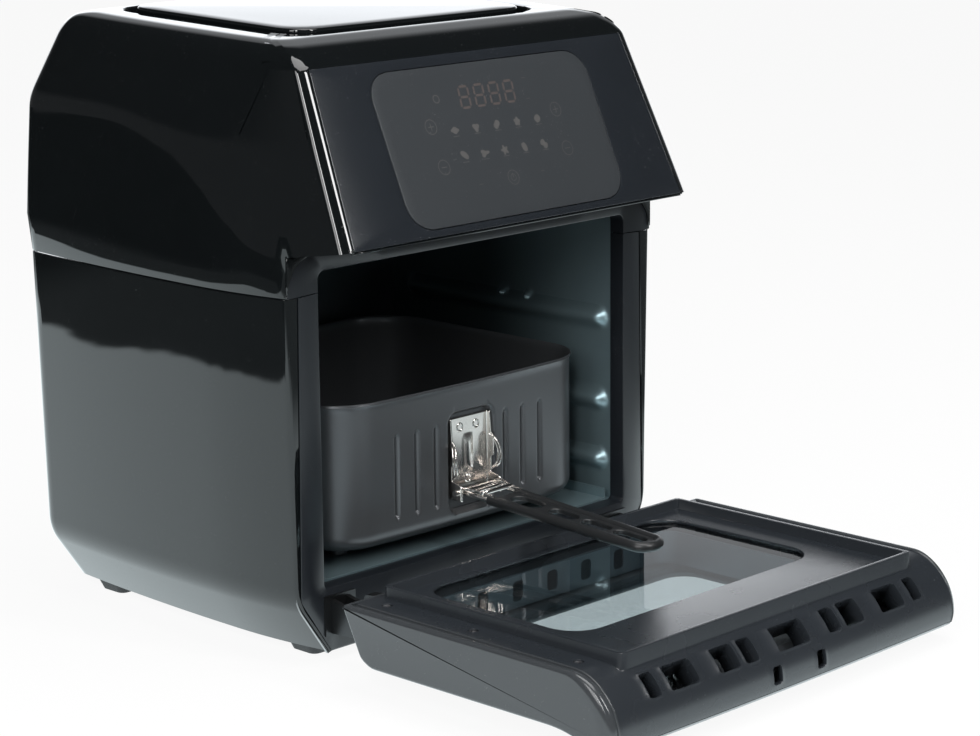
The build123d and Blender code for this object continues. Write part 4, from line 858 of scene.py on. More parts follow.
flare_y = np.linspace(FLARE_Y, FLARE_Y - FLARE_LENGTH, 25)
flare_drop = (DOOR_OUT_Z - LIP_Z) * ((flare_y - FLARE_Y) / FLARE_LENGTH) ** 2
flare = np.column_stack([flare_y, DOOR_OUT_Z - flare_drop])
lip = blend_curve(np.array([-240.0, LIP_Z]), np.array([-245.9, 8.2]), np.array([END_Y, 17.5]), 24)
nose = arc_through((END_Y, 17.5), (-237.5, 40.5), (HEAD_Y, DOOR_FACE_Z), 60)
outline_parts = [
    straight((-44.0, DOOR_FACE_Z), (-43.5, DOOR_FACE_Z), 2),
    rounded_corner((-60.0, DOOR_FACE_Z), (-40.0, DOOR_FACE_Z), (-54.0, 23.0), 3.4, 10),
    straight((-41.8, 47.05), (-53.1, 24.7), 8),
    rounded_corner((-40.0, DOOR_FACE_Z), (-55.0, 21.0), (-63.0, DOOR_OUT_Z), 3.0, 5),
    rounded_corner((-55.0, 21.0), (-63.0, DOOR_OUT_Z), (-80.0, DOOR_OUT_Z), 3.0, 5),
    straight((-67.0, DOOR_OUT_Z), (-195.0, DOOR_OUT_Z), 60), flare, lip[1:], nose[1:],
    straight((HEAD_Y + 1.0, DOOR_FACE_Z), (-44.0, DOOR_FACE_Z), 80),
]
form_line = np.concatenate(outline_parts)
form_s = np.concatenate([[0.0], np.cumsum(np.linalg.norm(np.diff(form_line, axis=0), axis=1))])
form_slope = np.gradient(form_line, form_s, axis=0)
form_slope /= np.linalg.norm(form_slope, axis=1, keepdims=True)
form_inward = np.column_stack([form_slope[:, 1], -form_slope[:, 0]])


def s_near(y, z):
    """The length along the outline at its point nearest to a place."""
    return float(form_s[np.argmin(np.hypot(form_line[:, 0] - y, form_line[:, 1] - z))])


def bowed(points):
    """The bowed, round-cornered free end: points near it move towards the hinge as |x| grows."""
    share = eased((FLARE_Y - points[..., 1]) / FLARE_LENGTH)
    past = np.clip(np.abs(points[..., 0]) - (DOOR_HALF - DOOR_CORNER), 0.0, DOOR_CORNER)
    corner = DOOR_CORNER - np.sqrt(DOOR_CORNER ** 2 - past ** 2)
    moved = points.copy()
    moved[..., 1] += share * (END_BOW * (points[..., 0] / DOOR_HALF) ** 2 + corner)
    return moved


def on_form(x, s, depth=0.0):
    """The point at x and s, depth under the skin. Near the sides the skin turns in on a quarter circle."""
    x, s = np.broadcast_arrays(np.asarray(x, float), np.asarray(s, float))
    past = np.clip(np.abs(x) - (DOOR_HALF - SIDE_EASE), 0.0, SIDE_EASE)
    depth = depth + SIDE_EASE - np.sqrt(SIDE_EASE ** 2 - past ** 2)
    y = np.interp(s, form_s, form_line[:, 0]) + depth * np.interp(s, form_s, form_inward[:, 0])
    z = np.interp(s, form_s, form_line[:, 1]) + depth * np.interp(s, form_s, form_inward[:, 1])
    return bowed(np.stack([x, y, z], axis=-1))


def boundary(top, bottom, left, right):
    """Row and column indexes round a block of a grid, in order."""
    rows = [np.full(right - left, top), np.arange(top, bottom),
            np.full(right - left, bottom), np.arange(bottom, top, -1)]
    columns = [np.arange(left, right), np.full(bottom - top, right),
               np.arange(right, left, -1), np.full(bottom - top, left)]
    return np.concatenate(rows), np.concatenate(columns)


def clear_block(kept, x, s, x_span, s_span):
    """Takes a block out of a grid's kept cells, and gives the row and column indexes round it."""
    left, right = (int(np.argmin(np.abs(x - v))) for v in x_span)
    top, bottom = (int(np.argmin(np.abs(s - v))) for v in s_span)
    kept[top:bottom, left:right] = False
    return boundary(top, bottom, left, right)


def form_grid(x, s, holes):
    """The form's skin over a grid of x and s. Each hole is (x span, s span, ring maker): the grid's cells
    in it are left out, and the ring maker turns the flat points round them into rings of the hole's
    edge."""
    kept = np.ones((len(s) - 1, len(x) - 1), bool)
    grid_x, grid_s = np.meshgrid(x, s)
    parts = []
    for x_span, s_span, make_rings in holes:
        edge = clear_block(kept, x, s, x_span, s_span)
        around = np.column_stack([grid_x[edge], grid_s[edge]])
        parts.append(skin([on_form(around[:, 0], around[:, 1])] + make_rings(around), closed=True))
    return [(on_form(grid_x, grid_s), grid_quads(len(s), len(x))[kept.ravel()])] + parts


def form_rings(around, middle, half_x, half_s, corner, steps):
    """Rings round a rounded rectangle of the form, one for each step: how much larger it is, and how deep."""
    rings = []
    for grow, depth in steps:
        loop = rounded_loop(around, middle, half_x + grow, half_s + grow, corner + grow)
        rings.append(on_form(loop[:, 0], loop[:, 1], depth))
    return rings


def fillers(marks, step):
    """Marks with evenly spaced values put in between, at most step apart."""
    marks = sorted(set(round(float(v), 3) for v in marks))
    values = []
    for a, b in zip(marks, marks[1:]):
        count = max(int(np.ceil((b - a) / step)), 1)
        values.append(np.linspace(a, b, count + 1)[:-1])
    return np.concatenate(values + [[marks[-1]]])


# Door, outer shell
# A gloss dark grey moulding: the outer face with its window and finger recess, the hinge edge and both side
# cheeks. The cheeks run round the free end outside the parting line.
door_gloss = finish("door_gloss", (0.040, 0.044, 0.048), 0.16, bump=0.06, drift=0.25, dust=0.15,
                    gloss_drift=0.05, wave=0.6, grain=0.1, wave_size=9.0)
OUTER_WINDOW_Y = (-72.0, -186.0)
OUTER_WINDOW_HALF = 105.0
OUTER_WINDOW_DEEP = 57.0
OUTER_WINDOW_CORNER = 16.0
RECESS_Y = (-226.0, -204.0)
RECESS_HALF = 62.0
RECESS_TOP = 26.0
RECESS_CORNER = 8.0
DOOR_WALL = 1.2
seam_s = s_near(-246.4, 12.0)
nose_s = s_near(END_Y, 17.5)
head_s = s_near(HEAD_Y, DOOR_FACE_Z)
last_s = float(form_s[-1])


def window_rings(around):
    """The outer window: the face up to its rounded edge, and the edge's wall."""
    middle_s = (s_near(OUTER_WINDOW_Y[0], DOOR_OUT_Z) + s_near(OUTER_WINDOW_Y[1], DOOR_OUT_Z)) / 2
    steps = ((3.0, 0.0), (0.4, 0.0), (0.1, 0.12), (0.0, 0.5), (0.0, 2.5))
    return form_rings(
        around, (0.0, middle_s), OUTER_WINDOW_HALF, OUTER_WINDOW_DEEP, OUTER_WINDOW_CORNER, steps)


def recess_rings(around):
    """The finger recess: a rounded trough whose floor is level."""
    near_s, far_s = s_near(RECESS_Y[1], 16.7), s_near(RECESS_Y[0], 13.5)
    middle_s = (near_s + far_s) / 2
    steps = ((2.0, 0.0), (1.0, 0.15), (0.3, 0.7), (0.0, 2.0))
    rings = form_rings(around, (0.0, middle_s), RECESS_HALF, middle_s - near_s, RECESS_CORNER, steps)
    deep = rings[-1].copy()
    deep[:, 2] = RECESS_TOP - 2.0
    floor_edge = deep * np.array([0.985, 1, 1])
    floor_edge[:, 1] += (deep[:, 1].mean() - deep[:, 1]) * 0.16
    floor_edge[:, 2] = RECESS_TOP
    middle = np.tile(floor_edge.mean(axis=0), (len(deep), 1))
    return rings + [deep, floor_edge, middle]


face_x = fillers([-CAP_X, -120.0, -RECESS_HALF - 6, 0.0, RECESS_HALF + 6, 120.0, CAP_X], 6.0)
window_span = (s_near(-67.5, DOOR_OUT_Z), s_near(-192.0, DOOR_OUT_Z))
recess_span = (s_near(-199.0, DOOR_OUT_Z), s_near(-233.0, 12.0))
face_s = fillers([0.0, *form_s[1:26], *window_span, *recess_span, s_near(-240.0, LIP_Z), seam_s], 3.0)
outer_parts = form_grid(face_x, face_s, [
    ((-CAP_X, CAP_X), window_span, window_rings),
    ((-RECESS_HALF - 6, RECESS_HALF + 6), recess_span, recess_rings)])
ease_turn = np.linspace(0, pi / 2, 7)
cheek_x = np.concatenate([[CAP_X], DOOR_HALF - SIDE_EASE + SIDE_EASE * np.sin(ease_turn) * 0.999])
cheek_s = np.concatenate([face_s, fillers([seam_s, nose_s, head_s, last_s], 2.5)[1:]])
for side in (-1, 1):
    cheek, cheek_quads = skin(on_form(*np.meshgrid(side * cheek_x, cheek_s[:-1])))
    closing = [[(len(cheek) - 1) * len(cheek_x) + k, (len(cheek) - 1) * len(cheek_x) + k + 1, k + 1, k]
               for k in range(len(cheek_x) - 1)]
    outer_parts.append((cheek, np.concatenate([cheek_quads, closing])))
    outer_parts.append((cheek[:, -1], [range(len(cheek))]))
    wall = np.stack([on_form(side * CAP_X, cheek_s[len(face_s) - 1:-1], depth) for depth in (0.0, 0.25, 3.0)])
    wall[0, :, 0] += side * 0.15
    outer_parts.append(skin(wall))
outer_parts.append(skin([on_form(face_x, seam_s, depth) for depth in (0.0, 0.3, 3.5)]))
door_outer = make_piece("door_outer_skin", outer_parts, door_gloss, "door",
                        ["door_outer_shell"])
thicken(door_outer, DOOR_WALL)

# Door, inner frame
# A satin black moulding: the flange with six recessed screws, the raised rim that closes inside the
# cavity's mouth, the plate round the inner window and the rounded end with nine vents and two catch slots.
door_satin = finish("door_satin", (0.019, 0.0225, 0.027), 0.27, bump=0.08, drift=0.2, dust=0.10,
                    gloss_drift=0.05, wave=0.15, grain=0.5, grain_size=1500.0, wave_size=14.0)
VENTS = ((0.0, 27.7), (37.0, 11.0), (56.0, 17.0), (93.0, 22.4), (117.0, 9.0))
VENT_BOUNDS = (22.7, 45.0, 73.15, 108.35, 127.0)
SLOT_X = 19.7
SLOT_HALF = 3.75
SLOT_Z = (17.0, 27.0)
LID_HALF = CAP_X - 0.35
WINDOW_HALF = 107.0
WINDOW_Y = (-176.0, -54.0)
WINDOW_CORNER = 20.0
SCREW_X = 139.0
SCREW_Y = (-60.0, -128.0, -206.0)
SCREW_CELL = 4.0
lid_s = seam_s + 0.45
vent_low, vent_high = s_near(-243.0, 33.4), s_near(-233.6, 44.6)
slot_low, slot_high = s_near(END_Y, SLOT_Z[0]), s_near(-246.2, SLOT_Z[1])


def vent_rings(x, width, low, high, proud, deep, corner):
    """A hole's edge: it rises to a soft lip, turns over it and goes down as a wall."""
    steps = ((1.5, 0.0), (0.8, -proud), (0.15, -proud), (0.0, 0.3), (0.0, deep))
    return lambda around: form_rings(
        around, (x, (low + high) / 2), width / 2, (high - low) / 2, corner, steps)


lid_marks = [0.0, LID_HALF, SCREW_X - SCREW_CELL, SCREW_X + SCREW_CELL, SLOT_X - 7.0, SLOT_X + 7.0,
             *VENT_BOUNDS]
lid_x = fillers([side * v for v in lid_marks for side in (-1, 1)], 4.0)
rim_span = (s_near(-231.0, 44.9), last_s - 1.0)
vent_span = (vent_low - 1.6, vent_high + 1.3)
slot_span = (slot_low - 2.5, slot_high + 2.5)
screw_spans = [(s_near(y - 4.4, DOOR_FACE_Z), s_near(y + 4.4, DOOR_FACE_Z)) for y in SCREW_Y]
lid_rows = fillers([lid_s, *slot_span, *vent_span, *rim_span, head_s,
                    *[v for span in screw_spans for v in span], last_s - 0.6], 3.5)
holes = []
for k, (x, width) in enumerate(VENTS):
    inner_bound = -VENT_BOUNDS[0] if k == 0 else VENT_BOUNDS[k - 1]
    for side in ((1,) if k == 0 else (-1, 1)):
        span = sorted((side * inner_bound, side * VENT_BOUNDS[k]))
        rings = vent_rings(side * x, width, vent_low, vent_high, 0.3, 13.0, 1.2)
        holes.append((span, vent_span, rings))
for side in (-1, 1):
    rings = vent_rings(side * SLOT_X, 2 * SLOT_HALF, slot_low, slot_high, 0.15, 3.0, 0.8)
    holes.append(((side * SLOT_X - 7.0, side * SLOT_X + 7.0), slot_span, rings))


def nose_height(x, y):
    """The form's height at a place on the flat face or on the bowed, rounded end."""
    unbowed = y - eased((FLARE_Y - y) / FLARE_LENGTH) * END_BOW * (x / DOOR_HALF) ** 2
    return np.interp(-unbowed, -nose[::-1, 0], nose[::-1, 1], left=DOOR_FACE_Z)


def rim_rings(around):
    """From the flange up the rim's wall, over its top, down to the plate and over the window's edge."""
    flat = on_form(around[:, 0], around[:, 1])[:, :2]
    middle = (0.0, (RIM_Y[0] + RIM_Y[1]) / 2)
    rim_deep = (RIM_Y[1] - RIM_Y[0]) / 2
    rings = []
    for grow, rise in ((1.1, 0.0), (0.35, 0.15), (0.0, 0.9)):
        loop = rounded_loop(flat, middle, RIM_HALF + grow, rim_deep + grow, RIM_CORNER + grow)
        rings.append(at_height(loop, nose_height(loop[:, 0], loop[:, 1]) + rise))
    for grow, height in ((0.0, RIM_TOP_Z - 0.5), (-0.15, RIM_TOP_Z - 0.12), (-0.5, RIM_TOP_Z),
                         (-2.4, RIM_TOP_Z), (-2.85, RIM_TOP_Z - 0.12), (-3.0, RIM_TOP_Z - 0.5),
                         (-3.0, DOOR_FACE_Z + 0.6), (-3.3, DOOR_FACE_Z + 0.1), (-4.2, DOOR_FACE_Z)):
        loop = rounded_loop(flat, middle, RIM_HALF + grow, rim_deep + grow, max(RIM_CORNER + grow, 1.2))
        rings.append(at_height(loop, height))
    middle = (0.0, (WINDOW_Y[0] + WINDOW_Y[1]) / 2)
    window_deep = (WINDOW_Y[1] - WINDOW_Y[0]) / 2
    for grow, height in ((0.9, DOOR_FACE_Z), (0.3, DOOR_FACE_Z - 0.15), (0.0, DOOR_FACE_Z - 0.6),
                         (0.0, 48.15)):
        loop = rounded_loop(flat, middle, WINDOW_HALF + grow, window_deep + grow, WINDOW_CORNER + grow)
        rings.append(at_height(loop, height))
    return rings


def screw_rings(x, y):
    """A round sink in the flange for a screw's head."""
    steps = ((0.4, 0.0), (0.15, 0.12), (0.0, 0.5), (0.0, 1.6))
    return lambda around: form_rings(around, (x, s_near(y, DOOR_FACE_Z)), 3.0, 3.0, 2.995, steps)


holes.append(((-135.0, 135.0), rim_span, rim_rings))
for side in (-1, 1):
    for y, span in zip(SCREW_Y, screw_spans):
        x = side * SCREW_X
        holes.append(((x - SCREW_CELL, x + SCREW_CELL), span, screw_rings(x, y)))
lid_parts = form_grid(lid_x, lid_rows, holes)
for s_edge in (lid_rows[0], lid_rows[-1]):
    lid_parts.append(skin([on_form(lid_x, s_edge, depth) for depth in (0.0, 2.5)]))
for side in (-1, 1):
    lid_parts.append(skin([on_form(side * LID_HALF, lid_rows, depth) for depth in (0.0, 2.5)]))
door_lid = make_piece("door_inner_skin", lid_parts, door_satin, "door", ["door_inner_frame"])
thicken(door_lid, DOOR_WALL)

# Door screws
# Small domed steel heads with a cross recess, sunk in the flange.


def screw_head(x, y, turned):
    """A dome z = h (1 - r^2), pressed in where it lies within either arm of a cross."""
    rings = np.array([0.0, 0.12, 0.22, 0.3, 0.42, 0.55, 0.7, 0.85, 1.0, 1.0])
    turn = np.linspace(0, tau, 48, endpoint=False)
    reach, angle = np.meshgrid(rings, turn, indexing="ij")
    px, py = 2.7 * reach * np.cos(angle), 2.7 * reach * np.sin(angle)
    along = px * cos(turned) + py * sin(turned)
    aside = py * cos(turned) - px * sin(turned)
    arm = (np.minimum(np.abs(along), np.abs(aside)) < 0.36) & (reach < 0.65)
    z = DOOR_FACE_Z - 1.3 + 1.1 * (1 - 0.75 * reach ** 2) - 0.8 * arm
    z[-1] -= 0.6
    return skin(np.stack([x + px, y + py, z], axis=-1), closed=True)


screw_dark = finish("screw_dark", (0.22, 0.22, 0.23), 0.32, metallic=1.0, bump=0.08, drift=0.3,
                    gloss_drift=0.1)
screw_parts = [screw_head(side * SCREW_X, y, 0.35 + 0.8 * k + side)
               for k, y in enumerate(SCREW_Y) for side in (-1, 1)]
make_piece("door_screw_heads", screw_parts, screw_dark, "door", ["door_screws"],
           edge_angle=30.0)

# Door panes
# Two clear tempered sheets. Light meets them as thin: a little is mirrored, more at a glancing angle, and
# the rest passes.


def thin_glass(name, tint):
    """Clear sheet glass. Where a ray enters, a share that grows at a glancing angle is mirrored. The rest
    goes straight through."""
    material = bpy.data.materials.new(name)
    tree = blank_tree(material)
    clear = add_node(tree, "ShaderNodeBsdfTransparent", {"Color": (*tint, 1.0)})
    shine = add_node(tree, "ShaderNodeBsdfGlossy", {"Roughness": 0.02, "Color": (1.0, 1.0, 1.0, 1.0)})
    angle = add_node(tree, "ShaderNodeFresnel", {"IOR": 1.5})
    place = add_node(tree, "ShaderNodeTexCoord")
    smear = add_node(tree, "ShaderNodeTexNoise", {"Vector": place.outputs["Object"], "Scale": 14.0})
    film = maths(tree, "MULTIPLY_ADD", smear.outputs["Fac"], 0.05, angle.outputs[0])
    side = add_node(tree, "ShaderNodeNewGeometry")
    entering = maths(tree, "MULTIPLY", film, maths(tree, "SUBTRACT", 1.0, side.outputs["Backfacing"]))
    both = mixed(tree, entering, clear.outputs[0], shine.outputs[0])
    add_node(tree, "ShaderNodeOutputMaterial", {"Surface": both})
    return material


door_glass = thin_glass("door_glass", (0.86, 0.90, 0.91))

# Cavity walls
# Two sheets of aluminised steel with three runners pressed into each. The left one is holed for the spit's
# socket.
WALL_X = 132.6
SHEET = 0.8
RUNNER_Y = (22.0, 190.0)
RUNNER_Z = (70.5, 110.0, 164.0)
RUNNER_REACH = 8.2
PRESS_DEPTH = 6.2
SPIT_PLACE = (95.0, 170.0)
SPIT_RADIUS = 9.6
SPIT_CELL = (14.0, 13.0)
liner_wall = finish("liner_wall", (0.25, 0.345, 0.375), 0.36, metallic=0.70, bump=0.10, drift=0.25,
                    gloss_drift=0.12, wave=0.5, wave_size=22.0, dust=0.05)


def painted_shade_behind(material, near, far, share):
    """Lets a material's base colour fall to a share of itself from one depth y to another: this is painted
    shade. The cavity goes dark towards the back in the photograph, and this is done for that look alone."""
    tree = material.node_tree
    shader = tree.nodes["Principled BSDF"]
    given = shader.inputs["Base Color"].links[0].from_socket
    place = add_node(tree, "ShaderNodeTexCoord")
    apart = add_node(tree, "ShaderNodeSeparateXYZ", {0: place.outputs["Object"]})
    fall = smooth_range(tree, apart.outputs["Y"], near, far, 1.0, share)
    darkened = add_node(tree, "ShaderNodeVectorMath", {0: given, "Scale": fall}, operation="SCALE")
    feed(tree, shader, {"Base Color": darkened.outputs["Vector"]})


# The liner's wall steel is painted darker towards the back: painted shade.
painted_shade_behind(liner_wall, 0.03, 0.13, 0.22)


def pressed(y, z, runs):
    """How far the sheet is pressed in: h (1 - (d / r)^2)^1.6 at the distance d from the nearest run's
    line."""
    height = np.zeros(np.broadcast(y, z).shape)
    for y0, y1, level, reach in runs:
        away = np.hypot(y - np.clip(y, y0, y1), z - level)
        height = np.maximum(height, PRESS_DEPTH * np.clip(1 - (away / reach) ** 2, 0, 1) ** 1.6)
    return height


def cavity_wall(side, runs, holed):
    """A wall's sheet: its pressed face, its flat back and the edge between them, with the spit's hole or
    not."""
    low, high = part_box("cavity_wall_right")
    hole_y = (SPIT_PLACE[0] - SPIT_CELL[0], SPIT_PLACE[0] + SPIT_CELL[0])
    hole_z = (SPIT_PLACE[1] - SPIT_CELL[1], SPIT_PLACE[1] + SPIT_CELL[1])
    y = fillers([low[1] / MM, *hole_y, high[1] / MM], 1.9)
    z = fillers([low[2] / MM, *hole_z, high[2] / MM], 1.9)
    face_x, back_x = side * WALL_X, side * (WALL_X + SHEET)
    grid_y, grid_z = np.meshgrid(y, z)
    front = np.stack([side * (WALL_X - pressed(grid_y, grid_z, runs)), grid_y, grid_z], axis=-1)
    back = np.stack([np.full_like(grid_y, back_x), grid_y, grid_z], axis=-1)
    kept = np.ones((len(z) - 1, len(y) - 1), bool)
    parts = []
    if holed:
        edge = clear_block(kept, y, z, hole_y, hole_z)
        around = np.column_stack([grid_y[edge], grid_z[edge]])
        loop = rounded_loop(around, SPIT_PLACE, SPIT_RADIUS, SPIT_RADIUS, SPIT_RADIUS - 0.001)
        rims = [np.column_stack([np.full(len(loop), x), loop]) for x in (face_x, back_x)]
        parts.append(skin([front[edge], *rims, back[edge]], closed=True))
    quads = grid_quads(len(z), len(y))[kept.ravel()]
    edge = boundary(0, len(z) - 1, 0, len(y) - 1)
    return parts + [(front, quads), (back, quads[:, ::-1]), skin([front[edge], back[edge]], closed=True)]


right_runs = [(*RUNNER_Y, level, RUNNER_REACH) for level in RUNNER_Z]
right_runs += [(y, y, SPIT_PLACE[1], 5.0) for y in (84.0, 106.0)]
left_runs = [(*RUNNER_Y, level, RUNNER_REACH) for level in RUNNER_Z[:2]]
left_runs += [(22.0, 68.0, RUNNER_Z[2], RUNNER_REACH), (122.0, 190.0, RUNNER_Z[2], RUNNER_REACH)]
make_piece("cavity_wall_right_sheet", cavity_wall(1, right_runs, False), liner_wall, "casing",
           ["cavity_wall_right"])
make_piece("cavity_wall_left_sheet", cavity_wall(-1, left_runs, True), liner_wall, "casing",
           ["cavity_wall_left"])

# Basket
# A deep-drawn steel pan with a dark non-stick coating: rounded foot, flared rim, three pressed grooves on
# each side of the recess for the handle's bracket, and a floor of punched slots.
BASKET_FLAT = 77.0
BASKET_CORNER = 34.0
BASKET_FRONT = 9.0
BASKET_BACK = 198.0
BASKET_FLOOR = 57.0
BASKET_MIDDLE = np.array([0.0, 103.0])
SLOT_FIELD = (96.0, 66.5)
basket_coating = finish("basket_coating", (0.085, 0.090, 0.096), 0.36, metallic=0.6, bump=0.10, drift=0.2,
                        gloss_drift=0.06, grain=0.6, grain_size=1400.0, dust=0.06)
quarter = np.linspace(0, pi / 2, 15)
flat_x = np.concatenate([
    np.linspace(-BASKET_FLAT, -66, 6)[:-1], np.arange(-66.0, 66.01, 0.6),
    np.linspace(66, BASKET_FLAT, 6)[1:]])


def basket_plan(inset):
    """The pan's plan at an inset: a bowed front and round corners. Every ring has the same number of
    points."""
    r = BASKET_CORNER - inset
    front = np.column_stack([flat_x, BASKET_FRONT + inset + 2.0 * (flat_x / BASKET_FLAT) ** 2])
    near = np.column_stack([BASKET_FLAT + r * np.sin(quarter), 45.0 - r * np.cos(quarter)])
    side = np.column_stack([np.full(24, BASKET_FLAT + r), np.linspace(45.0, 164.0, 24)])
    far = np.column_stack([BASKET_FLAT + r * np.cos(quarter), 164.0 + r * np.sin(quarter)])
    back = np.column_stack([np.linspace(BASKET_FLAT, -BASKET_FLAT, 30), np.full(30, BASKET_BACK - inset)])
    mirror = np.array([-1.0, 1.0])
    return np.concatenate([front, near[1:], side[1:], far[1:], back[1:], far[::-1][1:] * mirror,
                           side[::-1][1:] * mirror, near[::-1][1:-1] * mirror])


def front_press(x, z):
    """Depth of the front wall's pressings: the grooves along six upright lines, and the bracket's recess."""
    depth = np.zeros(np.broadcast(x, z).shape)
    for line in (30.0, 46.0, 62.0):
        away = np.hypot(np.abs(x) - line, z - np.clip(z, 73.6, 121.4))
        depth = np.maximum(depth, 3.0 * np.clip(1 - (away / 2.5) ** 2, 0, 1) ** 1.2)
    out_x = np.abs(x) - (20.0 - 8.0)
    out_z = np.abs(z - 97.5) - (31.5 - 8.0)
    within = np.minimum(np.maximum(out_x, out_z), 0)
    outside = np.hypot(np.maximum(out_x, 0), np.maximum(out_z, 0)) + within - 8.0
    return np.maximum(depth, 4.5 * eased(0.5 - outside / 2.2))


foot = [(9.0 * (1 - sin(a)), 9.0 * (1 - cos(a))) for a in np.linspace(0, pi / 2, 9)]
wall_z = np.concatenate([np.arange(67.0, 130.5, 0.9), [134.0, 138.0, 141.0]])
levels = foot + [(0.0, z - BASKET_FLOOR) for z in wall_z]
levels += [(-0.2, 86.6), (-0.7, 88.3), (-1.4, 89.3), (-1.95, 89.7), (-2.3, 89.4)]
pan_rows = []
for inset, rise in levels:
    ring = basket_plan(inset)
    z = np.full(len(ring), BASKET_FLOOR + rise)
    in_front = (ring[:, 1] < 20.0) & (np.abs(ring[:, 0]) < BASKET_FLAT)
    ring[:, 1] += np.where(in_front, front_press(ring[:, 0], z), 0.0)
    pan_rows.append(at_height(ring, z))
floor_edge = pan_rows[0]
slot_field = rounded_loop(floor_edge[:, :2], BASKET_MIDDLE, *SLOT_FIELD, 0.01)
basket_parts = [skin(pan_rows, closed=True),
                skin([floor_edge, at_height(slot_field, BASKET_FLOOR)], closed=True, flipped=True)]
cell_turn = circle(40)
cell = cell_turn / np.max(np.abs(cell_turn), axis=1, keepdims=True) * np.array([16.0, 9.5])
for row in range(7):
    for column in range(6):
        middle = np.array([-80.0 + 32.0 * column, 46.0 + 19.0 * row])
        slot_loop = rounded_loop(middle + cell, middle, 7.0, 2.5, 2.49)
        rings = [at_height(loop, BASKET_FLOOR) for loop in (middle + cell, slot_loop)]
        basket_parts.append(skin(rings, closed=True, flipped=True))
basket_pan = make_piece("basket_pan_skin", basket_parts, basket_coating, "basket",
                        ["basket_pan"], edge_angle=50.0)
thicken(basket_pan, 1.2)

# Handle bracket
# A plate of polished steel bent at both sides into ears and lugs, riveted in the basket's recess, with two
# pairs of wire clips.
PLATE_Y = 12.0
PLATE_HALF = 17.4
PLATE_BEND = 1.6
chrome = finish("bracket_chrome", (0.62, 0.59, 0.56), 0.19, metallic=1.0, bump=0.10, drift=0.2,
                gloss_drift=0.08, wave=0.6, wave_size=60.0)
handle_chrome = finish("wire_chrome", (0.60, 0.58, 0.56), 0.16, metallic=1.0, bump=0.08, drift=0.2,
                       gloss_drift=0.1)


def tube(path, radius, sides=14):
    """A round bar along a path of points. Each ring stands square to the path. Its axes are measured from
    the frame's axis that the path keeps furthest from."""
    path = np.asarray(path, float)
    along = np.gradient(path, axis=0)
    along /= np.linalg.norm(along, axis=1, keepdims=True)
    upright = np.eye(3)[np.argmin(np.max(np.abs(along), axis=0))]
    aside = np.cross(along, upright)
    aside /= np.linalg.norm(aside, axis=1, keepdims=True)
    up = np.cross(aside, along)
    turn = np.linspace(0, tau, sides, endpoint=False)[:, None]
    rings = path[:, None] + radius * (aside[:, None] * np.cos(turn) + up[:, None] * np.sin(turn))
    faces = list(grid_quads(len(path), sides, closed=True))
    faces += [range(sides)[::-1], range((len(path) - 1) * sides, len(path) * sides)]
    return rings, faces


def smooth_path(points, steps=8):
    """A path through the points, its turns rounded: a cubic between each two, b and c, that leaves b with
    the slope (c - a) / 2 from its neighbours a and c."""
    p = np.asarray(points, float)
    p = np.concatenate([2 * p[:1] - p[1:2], p, 2 * p[-1:] - p[-2:-1]])
    t = np.linspace(0, 1, steps, endpoint=False)[:, None]
    made = []
    for a, b, c, d in zip(p, p[1:], p[2:], p[3:]):
        bend = (2 * a - 5 * b + 4 * c - d) * t ** 2 + (3 * b - a - 3 * c + d) * t ** 3
        made.append(0.5 * (2 * b + (c - a) * t + bend))
    return np.concatenate(made + [p[-2:-1]])


bracket_z = np.arange(75.0, 124.6, 0.75)
flange_front = np.interp(bracket_z, [75, 84.2, 86.4, 95.6, 97.6, 109.0, 111.0, 124.5],
                         [-0.4, -0.4, 8.0, 8.0, 5.2, 5.2, 7.6, 8.8])
sheet_x = np.concatenate([np.linspace(-15.6, -4.6, 8), np.linspace(-4.0, 4.0, 9), np.linspace(4.6, 15.6, 8)])
bend = np.linspace(0, pi / 2, 6)
rows = []
for z, front in zip(bracket_z, flange_front):
    across_press = np.clip(1 - (sheet_x / 4.4) ** 2, 0, 1) ** 1.5
    pressed_out = 1.1 * across_press * np.clip(1 - ((z - 101) / 12.0) ** 6, 0, 1)
    middle = np.column_stack([sheet_x, PLATE_Y - pressed_out])
    flange = np.column_stack([np.full(7, PLATE_HALF), np.linspace(front, PLATE_Y - PLATE_BEND, 7)])
    curve = np.column_stack([PLATE_HALF - PLATE_BEND + PLATE_BEND * np.cos(bend),
                             PLATE_Y - PLATE_BEND + PLATE_BEND * np.sin(bend)])
    right = np.concatenate([flange, curve[1:]])
    rows.append(at_height(np.concatenate([right * [-1, 1], middle[1:-1], right[::-1]]), z))
bracket = make_piece("bracket_sheet", [skin(rows, flipped=True)], chrome, "basket",
                     ["handle_bracket"], edge_angle=50.0)
thicken(bracket, 0.9)


def rivet(x, z):
    """A tubular rivet's head, turned about its axis: a rolled ring round a small dimple."""
    radius = np.array([3.3, 3.3, 3.0, 2.4, 1.8, 1.4, 1.1, 0.02])
    out = np.array([-0.2, 0.35, 0.95, 1.25, 1.05, 0.5, 0.2, 0.15])
    turn = np.linspace(0, tau, 32, endpoint=False)
    return skin(np.stack([x + radius[:, None] * np.cos(turn), PLATE_Y - out[:, None] + 0 * turn,
                          z + radius[:, None] * np.sin(turn)], axis=-1), closed=True)


make_piece("rivet_heads", [rivet(-7.0, 118.0), rivet(7.0, 118.0), rivet(0.0, 85.0)], chrome, "basket",
           ["bracket_rivets"])
clips = []
for side in (-1, 1):
    for lean in (0.0, 2.4):
        clip_path = smooth_path([
            (side * 16.6, 9.0, 110.0), (side * 18.3, 6.0 - lean, 106.0), (side * 19.6, 4.4 - lean, 99.0),
            (side * 18.4, 4.6 - lean, 92.5), (side * 16.9, 7.0, 88.5)])
        clips.append(tube(clip_path, 0.8, 10))
make_piece("bracket_clips", clips, chrome, "basket")

